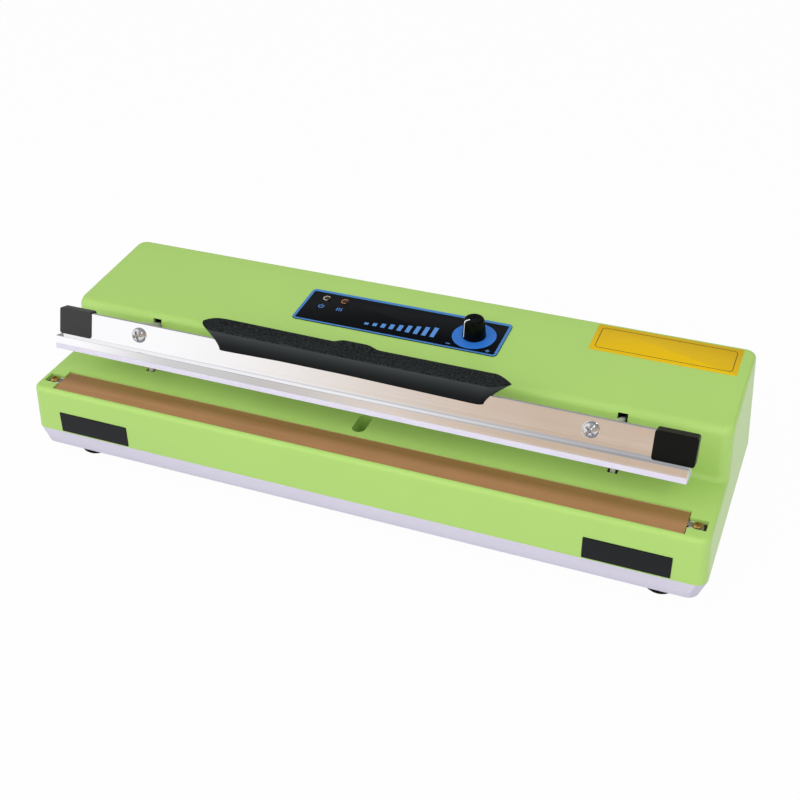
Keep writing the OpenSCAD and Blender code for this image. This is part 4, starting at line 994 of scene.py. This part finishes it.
def springTube(node):
    # a helix between two open hooks; each ring lies in the plane of two axes across the path
    low, high, middle = nodeBox(node)
    r = spring["radius"]
    z0, z1 = low[2] + spring["wire"] + r, high[2] - spring["wire"] - r
    hook = np.radians(np.linspace(*spring["hook"]))
    turn = np.linspace(0, spring["coils"] * 2 * math.pi, spring["coils"] * spring["perCoil"])
    lower = np.stack([r * np.cos(hook), 0 * hook, z0 - r * np.sin(hook)], -1)
    upper = np.stack([r * np.cos(hook), 0 * hook, z1 + r * np.sin(hook)], -1)[::-1]
    path = np.concatenate([lower, polar(r, turn, z0 + (z1 - z0) * turn / turn[-1]), upper])
    if node.endswith("left"):
        path = path * [-1, 1, 1]
    ahead = np.gradient(path, axis=0)
    ahead /= np.linalg.norm(ahead, axis=1)[:, None]
    side = np.cross(ahead, [0, 1, 0.001])
    side /= np.linalg.norm(side, axis=1)[:, None]
    up = np.cross(side, ahead)
    a = circle(spring["sides"])[..., None]
    tube = path[:, None] + spring["wire"] * (side[:, None] * np.cos(a) + up[:, None] * np.sin(a))
    return tubeOf(tube + [middle[0], middle[1], 0])


for end in ("left", "right"):
    node = "return_spring_" + end
    newPiece("spring" + end.title(), springTube(node), "housing", "springWire", [node])
print("springs wound")

# camera: angles, roll and distance found from the housing's straight edges
camera = {"azimuth": 23.227, "elevation": 35.152, "roll": -1.922, "focal": 1227.978, "imageWidth": 800,
          "place": (262.99 * mm, -589.18 * mm, 496.16 * mm), "sensor": 36.0, "clip": (0.02, 60)}


def stand(name, data, right, up, back, place):
    # a camera or lamp in the scene, by its own axes and its place
    made = bpy.data.objects.new(name, data)
    columns = np.column_stack([right, up, back, place])
    made.matrix_world = Matrix([*columns.tolist(), [0, 0, 0, 1]])
    bpy.context.scene.collection.objects.link(made)
    return made


def placeCamera():
    a, e, r = [math.radians(camera[k]) for k in ("azimuth", "elevation", "roll")]
    back = np.array([math.sin(a) * math.cos(e), -math.cos(a) * math.cos(e), math.sin(e)])
    right = np.array([math.cos(a), math.sin(a), 0])
    up = np.cross(back, right)
    rolledRight = math.cos(r) * right + math.sin(r) * up
    rolledUp = -math.sin(r) * right + math.cos(r) * up
    data = bpy.data.cameras.new("camera")
    data.sensor_width = camera["sensor"]
    data.lens = camera["sensor"] * camera["focal"] / camera["imageWidth"]
    data.clip_start, data.clip_end = camera["clip"]
    bpy.context.scene.camera = stand("camera", data, rolledRight, rolledUp, back, camera["place"])


placeCamera()

# studio: a white room, two large soft lamps in front, a small one at the right for sparks on round edges, and
# a wall in front that only reflections see, white at its left and warm at its right, grey higher up; turns,
# cooler, overhead and behind say where it changes, by the ray's way aside, its height or its way back
studio = {"room": 0.68, "soft": 12.4, "softSize": 1.4, "softAside": 0.74, "softPlace": (-1.43, 1.42),
          "spark": 2.0, "sparkSize": 0.3, "sparkPlace": (0.9, -1.1, 1.5), "target": (0, 0, 0.05),
          "floorHalf": 1.6, "floorGlow": 0.97, "floor": (0.64, 0.64, 0.64, 1),
          "ceiling": (0.5, 0.5, 0.52, 1), "rear": (0.3, 0.3, 0.3, 1),
          "card": (1.1, 1.1, 1.1, 1), "warm": (0.65, 0.5, 0.38, 1), "grey": (0.4, 0.4, 0.4, 1),
          "turns": (-0.6, -0.2), "cooler": (0.3, 0.46), "overhead": (0.74, 0.92), "behind": (-0.1, 0.15)}
white = (1, 1, 1, 1)


def lampAt(name, place, size, power, mirrored=False):
    # a round area lamp that points at the object
    data = bpy.data.lights.new(name, "AREA")
    data.shape = "DISK"
    data.size = size
    data.energy = power
    back = np.array(place) - np.array(studio["target"])
    back = back / np.linalg.norm(back)
    right = np.cross([0, 0, 1], back)
    right = right / np.linalg.norm(right)
    stand(name, data, right, np.cross(back, right), back, place).visible_glossy = mirrored


def whiteRoom():
    # the camera sees white, the object is lit evenly, and reflections see the wall, which changes by x / -y
    # of the ray, under a grey ceiling and with a grey rear
    world = bpy.data.worlds.new("room")
    world.use_nodes = True
    world.node_tree.nodes.clear()
    tree = Wire(world.node_tree)
    path = tree.node("ShaderNodeLightPath", output="Is Camera Ray")
    x, y, z = tree.node("ShaderNodeTexCoord", output="Generated").split()
    slope = x.math("DIVIDE", (y * -1.0).math("MAXIMUM", 0.05))
    turned = slope.smooth(*studio["turns"])
    lower, upper = [blend(turned, studio["card"], studio[k]) for k in ("warm", "grey")]
    wall = blend(z.smooth(*studio["cooler"]), lower, upper)
    front = blend(z.smooth(*studio["overhead"]), wall, studio["ceiling"])
    glossy = blend(y.smooth(*studio["behind"]), front, studio["rear"])
    light = tree.node("ShaderNodeBackground", {"Color": white, "Strength": studio["room"]})
    mirrored = tree.node("ShaderNodeBackground", {"Color": glossy, "Strength": 1.0})
    clear = tree.node("ShaderNodeBackground", {"Color": white, "Strength": 1.0})
    shone = tree.node("ShaderNodeMixShader", {0: path.also("Is Glossy Ray"), 1: light, 2: mirrored})
    seen = (path + path.also("Is Transmission Ray")).math("MINIMUM", 1.0)
    mixed = tree.node("ShaderNodeMixShader", {0: seen, 1: shone, 2: clear})
    tree.node("ShaderNodeOutputWorld", {"Surface": mixed})
    bpy.context.scene.world = world


def paleFloor():
    # near-white floor: part of it glows to the camera and to reflections, the rest takes the shadow
    material, tree = newMaterial("paleFloor")
    path = tree.node("ShaderNodeLightPath", output="Is Camera Ray")
    seen = path + path.also("Is Glossy Ray") + path.also("Is Transmission Ray")
    glow = tree.node("ShaderNodeEmission", {"Color": white, "Strength": 1.0})
    matt = tree.node("ShaderNodeBsdfDiffuse", {"Color": studio["floor"]})
    share = seen.math("MINIMUM", 1.0) * studio["floorGlow"]
    mixed = tree.node("ShaderNodeMixShader", {0: share, 1: matt, 2: glow})
    tree.node("ShaderNodeOutputMaterial", {"Surface": mixed})
    half = studio["floorHalf"]
    mesh = bpy.data.meshes.new("floor")
    corners = [(-half, -half, 0), (half, -half, 0), (half, half, 0), (-half, half, 0)]
    mesh.from_pydata(corners, [], [(0, 1, 2, 3)])
    mesh.materials.append(material)
    floor = bpy.data.objects.new("floor", mesh)
    bpy.context.scene.collection.objects.link(floor)


for side in (-1, 1):
    place = (side * studio["softAside"], *studio["softPlace"])
    lampAt("softLamp", place, studio["softSize"], studio["soft"])
lampAt("sparkLamp", studio["sparkPlace"], studio["sparkSize"], studio["spark"], mirrored=True)
whiteRoom()
paleFloor()
bpy.context.scene.view_settings.view_transform = "Standard"
print("studio set")
